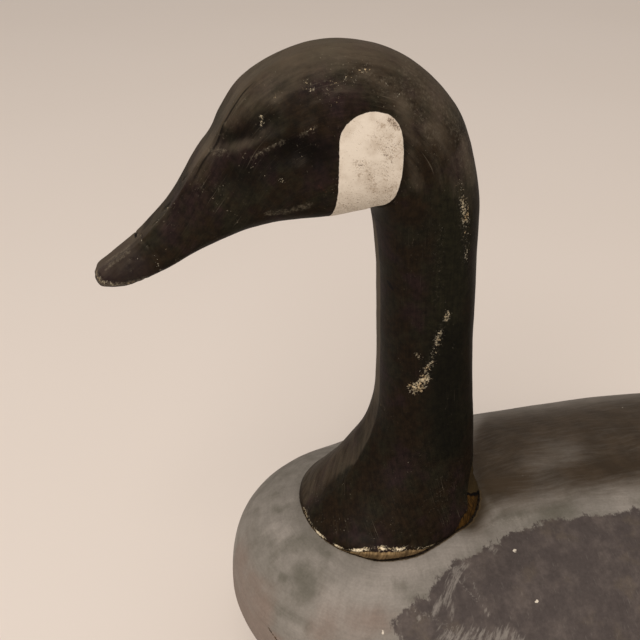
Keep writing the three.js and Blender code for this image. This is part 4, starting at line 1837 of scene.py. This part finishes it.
@dataclass
class Body:
    """The carved body, flat below, with a flat seat on its back for the neck's foot."""

    placement: Placement
    stations: tuple[Station, ...] = BODY_STATIONS
    marks: tuple[Mark, ...] = BODY_MARKS

    # The form's main lines, by their places along the decoy.
    breast_x: float = 92.0
    breast_round_x: float = -14.0
    breast_drop_x: float = 33.0
    breast_drop_power: float = 2.8
    keel_rise_x: float = -18.0
    keel_rise_power: float = 1.5
    tail_round_x: float = -470.0
    tail_rise_x: float = -300.0
    tail_edge_x: float = -512.0
    tail_rise_power: float = 1.3
    flank_power: float = 1.7
    seat_z: float = 141.0
    seat_depth: float = 40.0
    seat_room: float = 1.25

    # How the mesh is laid out.
    fine_steps: int = 4000
    tail_turn: float = 0.03
    breast_turn: float = 0.02
    section_steps: int = 140
    columns: int = 138
    spacing: float = 1.4
    rear_spacing: float = 4.2
    rear_run: Levels = Levels(-120.0, -260.0)
    flank_weight: float = 0.55
    floor_weight: float = 0.14
    sharp_angle: float = 50.0

    # Tool facets, the breast's ridge, the far shoulder's dip and damage.
    over_floor: Levels = Levels(2.0, 12.0)
    facets: Ripples = Ripples(46.0, 5, 2, 0.5)
    tool_marks: Ripples = Ripples(9.0, 7, 3, 0.06)
    breast_ridge: Spot = Spot(5.0, 0.9, ((20, 107), (50, 111), (66, 115)))
    breast_ridge_run: Levels = Levels(40.0, 60.0)
    far_dip: float = 2.2
    far_dip_x: float = 10.0
    far_dip_length: float = 22.0
    far_dip_side: Levels = Levels(45.0, 72.0)
    gouge: Levels = Levels(0.25, 0.9, 2.6)
    pit_depth: float = 2.5
    damage_x: float = -20.0

    # The brush's run.
    spine_end: float = -430.0
    slope_share: float = 0.6
    back_z: float = 150.0
    brush_turn: float = 60.0
    brush_wander: Ripples = Ripples(55.0, 41, 2, 9.0)

    # The dark sides and the olive back.
    left: Levels = Levels(-6.0, 6.0)
    wing_paint: Line = WING_PAINT
    wing_wander: Ripples = Ripples(14.0, 31, 3, 4.0)
    wing_limits: tuple[float, float] = (-20.0, 20.0)
    far_wing: float = 72.0
    olive_front: Levels = Levels(-40.0, -60.0)
    olive_flat: float = 20.0
    olive_curve: float = 0.6
    olive_edge: Levels = Levels(4.0, 48.0)
    far_olive: Levels = Levels(50.0, 165.0)
    far_olive_thin: float = 0.12
    back_worn: Spot = Spot(14.0, 0.22, ((-94, 4), (-116, -14)))

    # The crack, the glue seam with its painted shadow, and the grime and painted shade round the foot.
    crack: Spot = Spot(9.0, 1.0, FOOT_CORNER)
    crack_stain: Spot = Spot(11.25, 0.95, FOOT_CORNER)
    crack_x: float = -30.0
    crack_width: float = 0.9
    crack_wander: Ripples = Ripples(3.5, 61, 2, 0.6)
    seam_drop: float = 4.0
    seam_width: float = 0.9
    seam_front: Levels = Levels(30.0, 4.0, 0.7)
    seam_limits: tuple[float, float] = (-1.0, 4.0)
    grime_and_shade_reach: float = 4.0
    grime_and_shade_rear_reach: float = 7.0
    grime_and_shade_share: float = 0.3
    grime_and_shade_rear: Levels = Levels(-15.0, -45.0)
    rose_low: Levels = Levels(112.0, 98.0)
    rose_front: Levels = Levels(20.0, 60.0)

    def read(self, field: str, x: Points) -> Points:
        """One of the stations' values at each x."""
        places = np.array([station.x for station in self.stations])
        return monotone(places, np.array([getattr(station, field) for station in self.stations], float), x)

    def tail_plan(self, x: Points) -> Points:
        """How much of its size the body keeps round the tail's end."""
        return quarter_round(x, self.tail_round_x, self.stations[0].x)

    def plan(self, x: Points) -> Points:
        """How much of its width the body keeps at each x, seen from above."""
        return np.minimum(quarter_round(x, self.breast_round_x, self.breast_x), self.tail_plan(x))

    def places(self) -> Points:
        """Where the rings stand, close together from the breast to behind the neck.

        Returns:
            The x of each ring, in order.
        """
        turn = np.linspace(self.tail_turn, np.pi - self.breast_turn, self.fine_steps)
        fine = self.stations[0].x + (self.breast_x - self.stations[0].x) * (1 - np.cos(turn)) / 2
        run = np.stack([fine, self.read("half", fine) * self.plan(fine)], axis=-1)
        step = self.spacing + (self.rear_spacing - self.spacing) * self.rear_run.at(fine)
        return spaced(fine, run, step)

    def rings(self) -> Points:
        """The body's form before its finer relief.

        Returns:
            Points as rings by columns by 3.
        """
        x = self.places()
        plan = self.plan(x)
        front = quarter_round(x, self.breast_drop_x, self.breast_x, self.breast_drop_power)
        drop = np.minimum(front, self.tail_plan(x))
        keel = quarter_round(x, self.keel_rise_x, self.breast_x, self.keel_rise_power)
        stern = quarter_round(x, self.tail_rise_x, self.tail_edge_x, self.tail_rise_power)
        wide, square = self.read("wide", x)[:, None], self.read("square", x)[:, None]
        half = (self.read("half", x) * plan)[:, None]
        rise = (self.read("top", x) * drop + wide[:, 0] * (1 - drop))[:, None] - wide
        fall = wide * np.minimum(keel, stern)[:, None]
        under = (self.read("under", x) * plan * keel)[:, None]
        turn = np.linspace(0, np.pi / 2, self.section_steps)[None, :]
        low = turn[:, 1:]
        across = np.hstack([
            half * bend(np.sin(turn), square),
            under + (half - under) * bend(np.cos(low), self.flank_power),
            np.zeros_like(half),
        ])
        height = np.hstack([
            wide + rise * bend(np.cos(turn), square),
            wide - fall * bend(np.sin(low), self.flank_power),
            wide - fall,
        ])
        halves = np.stack([np.repeat(x[:, None], across.shape[1], axis=1), across, height], axis=-1)
        steps = self.section_steps - 1
        weights = [*np.full(steps, 1.0), *np.full(steps, self.flank_weight), self.floor_weight]
        return spread_columns(halves, np.array(weights), self.columns)

    def girth(self, points: Points) -> Points:
        """How far each point is from the spine, over the back and down the side."""
        top = self.read("top", points[:, 0])
        return np.abs(points[:, 1]) + self.slope_share * np.maximum(top - points[:, 2], 0)

    def relief(self, points: Points) -> Points:
        """How deep the finer carving and wear go at each point.

        Args:
            points: One row for each point.

        Returns:
            Millimetres inward.
        """
        x, y, z = points.T
        upper = self.over_floor.at(z)
        depth = (self.facets.at(points) + self.tool_marks.at(points)) * upper
        depth -= self.breast_ridge.at(points[:, FRONT_PLANE]) * self.breast_ridge_run.at(x)
        dip = self.far_dip * bell((x - self.far_dip_x) / self.far_dip_length)
        depth += dip * self.far_dip_side.at(-y) * upper
        fields = wear_fields(self.marks, points)
        damage = self.gouge.at(fields["rust"]) + self.pit_depth * fields["pits"]
        return depth + damage * (x < self.damage_x)

    def brush(self, points: Points) -> Points:
        """How far each point is along and across the brush's run, which circles the foot.

        Args:
            points: One row for each point.

        Returns:
            Rows of two lengths and a 0.
        """
        x, y, z = points.T
        centre = np.clip(x, self.spine_end, 0.0)
        across = np.hypot(x - centre, y) + self.slope_share * (self.back_z - z) + self.brush_wander.at(points)
        turned = np.arctan2(np.abs(y), np.maximum(x, TINY))
        along = np.where(x > 0, turned * self.brush_turn, np.pi / 2 * self.brush_turn - x)
        return np.stack([along * np.where(y < 0, -1, 1), across, np.zeros_like(x)], axis=-1)

    def wing_field(self, points: Points) -> Points:
        """How far inside the wings' dark paint each point lies, negative outside it.

        Args:
            points: One row for each point.

        Returns:
            Millimetres for each point.
        """
        x, y, _ = points.T
        girth = self.girth(points) - self.far_wing * (1 - self.left.at(y))
        inside = outline_depth(np.stack([x, girth], axis=-1), self.wing_paint)
        return np.clip(inside + self.wing_wander.at(points), *self.wing_limits)

    def olive_field(self, points: Points) -> Points:
        """How thickly the olive of the back lies.

        Args:
            points: One row for each point.

        Returns:
            Numbers from 0 to 1.
        """
        x, y, _ = points.T
        girth, left = self.girth(points), self.left.at(y)
        behind = self.olive_front.at(x + self.olive_curve * np.maximum(np.abs(y) - self.olive_flat, 0))
        top = 1 - self.olive_edge.at(girth) * left
        top -= (self.far_olive_thin + self.far_olive.at(girth)) * (1 - left)
        top = np.clip(top, 0, 1) - self.back_worn.at(points[:, :2])
        stain_and_shadow = self.crack_stain.at(points[:, :2]) * (x < self.crack_x)
        return np.maximum(behind * np.clip(top, 0, 1), stain_and_shadow)

    def fields(self, points: Points, foot: Points) -> dict[str, Points]:
        """What the paint needs to know at each point.

        Args:
            points: One row for each point.
            foot: The outline of the neck's foot, seen from above.

        Returns:
            One field for each attribute.
        """
        x, _, z = points.T
        fields = wear_fields(self.marks, points)
        fields["wing"] = self.wing_field(points)
        fields["back"] = self.olive_field(points)
        near = -outline_depth(points[:, :2], tuple(map(tuple, foot)))
        high = z > self.seat_z - self.seam_drop
        # The seam's dark line and band, widest on the near side, where it is painted shadow under the foot's
        # overhanging edge.
        split = self.crack.at(points[:, :2])
        width = self.seam_width + self.seam_front.at(x) + self.crack_width * split
        width *= 1 + self.crack_wander.at(points) * split
        fields["seam"] = np.where(high, np.clip(near / width, *self.seam_limits), self.seam_limits[1])
        # Grime and painted shade round the foot, reaching further behind it, where the neck's shadow falls.
        rear = self.grime_and_shade_rear.at(x)
        grime = np.exp(-np.maximum(near, 0) / (self.grime_and_shade_reach + self.grime_and_shade_rear_reach * rear))
        fields["grime"] = grime * high * (self.grime_and_shade_share + (1 - self.grime_and_shade_share) * rear)
        # A painted reflection of light bounced from the floor on the breast's low front faces.
        fields["rose"] = np.maximum(fields["rose"], self.rose_low.at(z) * self.rose_front.at(x))
        fields["brush"] = self.brush(points)
        return fields

    def seat_block(self, foot: Points) -> bpy.types.Object:
        """The wood that is cut away over the seat, in the foot's outline with a little room.

        Args:
            foot: The outline of the neck's foot, seen from above.

        Returns:
            The block.
        """
        middle = foot.mean(axis=0)
        grown = middle + (foot - middle) * (1 + self.seat_room / np.abs(foot[:, 1]).max())
        heights = (self.seat_z, self.seat_z + self.seat_depth)
        levels = np.array([np.column_stack([grown, np.full(len(grown), z)]) for z in heights])
        turned = self.placement.to_frame(levels)[:, ::-1]
        return linked("seat_block", closed_mesh("seat_block", turned))

    def build(self, foot: Points) -> bpy.types.Object:
        """Makes the piece, finished and riding on the frame.

        Args:
            foot: The outline of the neck's foot, seen from above.

        Returns:
            The piece.
        """
        rings = self.rings()
        depth = self.relief(rings.reshape(-1, 3)).reshape(rings.shape[:2])
        carved = rings - grid_normals(rings) * depth[..., None]
        whole = linked("body_whole", closed_mesh("body_whole", self.placement.to_frame(carved)))
        block = self.seat_block(foot)
        cut = whole.modifiers.new("seat", "BOOLEAN")
        cut.operation, cut.solver, cut.object = "DIFFERENCE", "MANIFOLD", block
        graph = bpy.context.evaluated_depsgraph_get()
        mesh = bpy.data.meshes.new_from_object(whole.evaluated_get(graph))
        for helper in (whole, block):
            bpy.data.objects.remove(helper)
        mesh.shade_smooth()
        mesh.set_sharp_from_angle(angle=math.radians(self.sharp_angle))
        store(mesh, self.fields(self.placement.to_decoy(vertex_points(mesh)), foot))
        mesh.materials.clear()
        mesh.materials.append(BodyPaint().material())
        piece = linked("body_carved", mesh)
        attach(piece, "root")
        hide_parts("body")
        LOG.info("%s: %d faces", piece.name, len(mesh.polygons))
        return piece


@dataclass
class Studio:
    """A pale floor, soft light and the camera, in metres."""

    camera_place: tuple[float, float, float] = (0.4134, -0.3093, 0.515)
    camera_facing: tuple[float, float, float] = (-0.845, 0.180, -0.503)
    lens: float = 54.1
    shift: float = 0.003
    clip: tuple[float, float] = (0.01, 50.0)
    floor_tint: str = "e6e1db"
    floor_fleck: str = "d8d0c4"
    floor_size: float = 12.0
    floor_z: float = -0.0003
    floor_grain: Grain = Grain(400.0, detail=1.0)
    floor_flecks: Levels = Levels(0.3, 0.7, 0.06)
    floor_rough: Levels = Levels(-1.0, 0.2, 0.9)
    floor_specular: float = 0.2
    light_tint: str = "fff2e8"
    sky_strength: float = 0.5
    lamp_place: tuple[float, float, float] = (2.0, -1.3, 2.8)
    lamp_target: tuple[float, float, float] = (0.0, -0.1, 0.15)
    lamp_size: float = 1.9
    lamp_power: float = 94.0

    @staticmethod
    def aimed(made: bpy.types.Object, place: tuple, facing: Vector) -> bpy.types.Object:
        """Puts a camera or a lamp in the scene.

        Args:
            made: The camera or lamp.
            place: Where it stands.
            facing: The direction it looks in.

        Returns:
            The same object.
        """
        made.location = place
        made.rotation_euler = facing.to_track_quat("-Z", "Y").to_euler()
        bpy.context.scene.collection.objects.link(made)
        return made

    def camera(self) -> None:
        """Makes the camera at the photograph's viewing angle."""
        data = bpy.data.cameras.new("camera")
        data.lens, data.shift_x = self.lens, self.shift
        data.clip_start, data.clip_end = self.clip
        camera = bpy.data.objects.new("camera", data)
        bpy.context.scene.camera = self.aimed(camera, self.camera_place, Vector(self.camera_facing))

    def lamp(self) -> None:
        """Makes the square soft light that looks at the decoy."""
        data = bpy.data.lights.new("key", "AREA")
        data.size, data.energy, data.color = self.lamp_size, self.lamp_power, tint(self.light_tint)[:3]
        facing = Vector(self.lamp_target) - Vector(self.lamp_place)
        self.aimed(bpy.data.objects.new("key", data), self.lamp_place, facing)

    def floor(self) -> None:
        """Makes the plain floor that the decoy stands on."""
        half = self.floor_size / 2
        corners = [(-half, -half, 0), (half, -half, 0), (half, half, 0), (-half, half, 0)]
        mesh = bpy.data.meshes.new("floor")
        mesh.from_pydata(corners, [], [(0, 1, 2, 3)])
        graph = Graph("plain_floor")
        weave = graph.grain(self.floor_grain)
        colour = graph.over(self.floor_tint, graph.level(weave, self.floor_flecks), self.floor_fleck)
        rough = graph.level(weave, self.floor_rough)
        mesh.materials.append(graph.finish(colour, rough, self.floor_specular))
        floor = linked("floor", mesh)
        floor.location.z = self.floor_z

    def sky(self) -> None:
        """Fills the room with soft light."""
        world = bpy.data.worlds.new("room")
        world.use_nodes = True
        back = world.node_tree.nodes["Background"]
        back.inputs["Color"].default_value = tint(self.light_tint)
        back.inputs["Strength"].default_value = self.sky_strength
        bpy.context.scene.world = world

    def build(self) -> None:
        """Makes the whole studio."""
        bpy.context.scene.view_settings.view_transform = "Standard"
        self.camera()
        self.floor()
        self.sky()
        self.lamp()
        LOG.info("studio: camera, floor and lights")


def main() -> None:
    """Makes the studio and the decoy's two pieces, and reports each."""
    logging.basicConfig(level=logging.INFO, format="%(message)s")
    Studio().build()
    placement = Placement.from_frame(BODY_STATIONS[0].x)
    head = HeadAndNeck(placement)
    head.build()
    Body(placement).build(head.foot_outline())


if __name__ == "__main__":
    main()
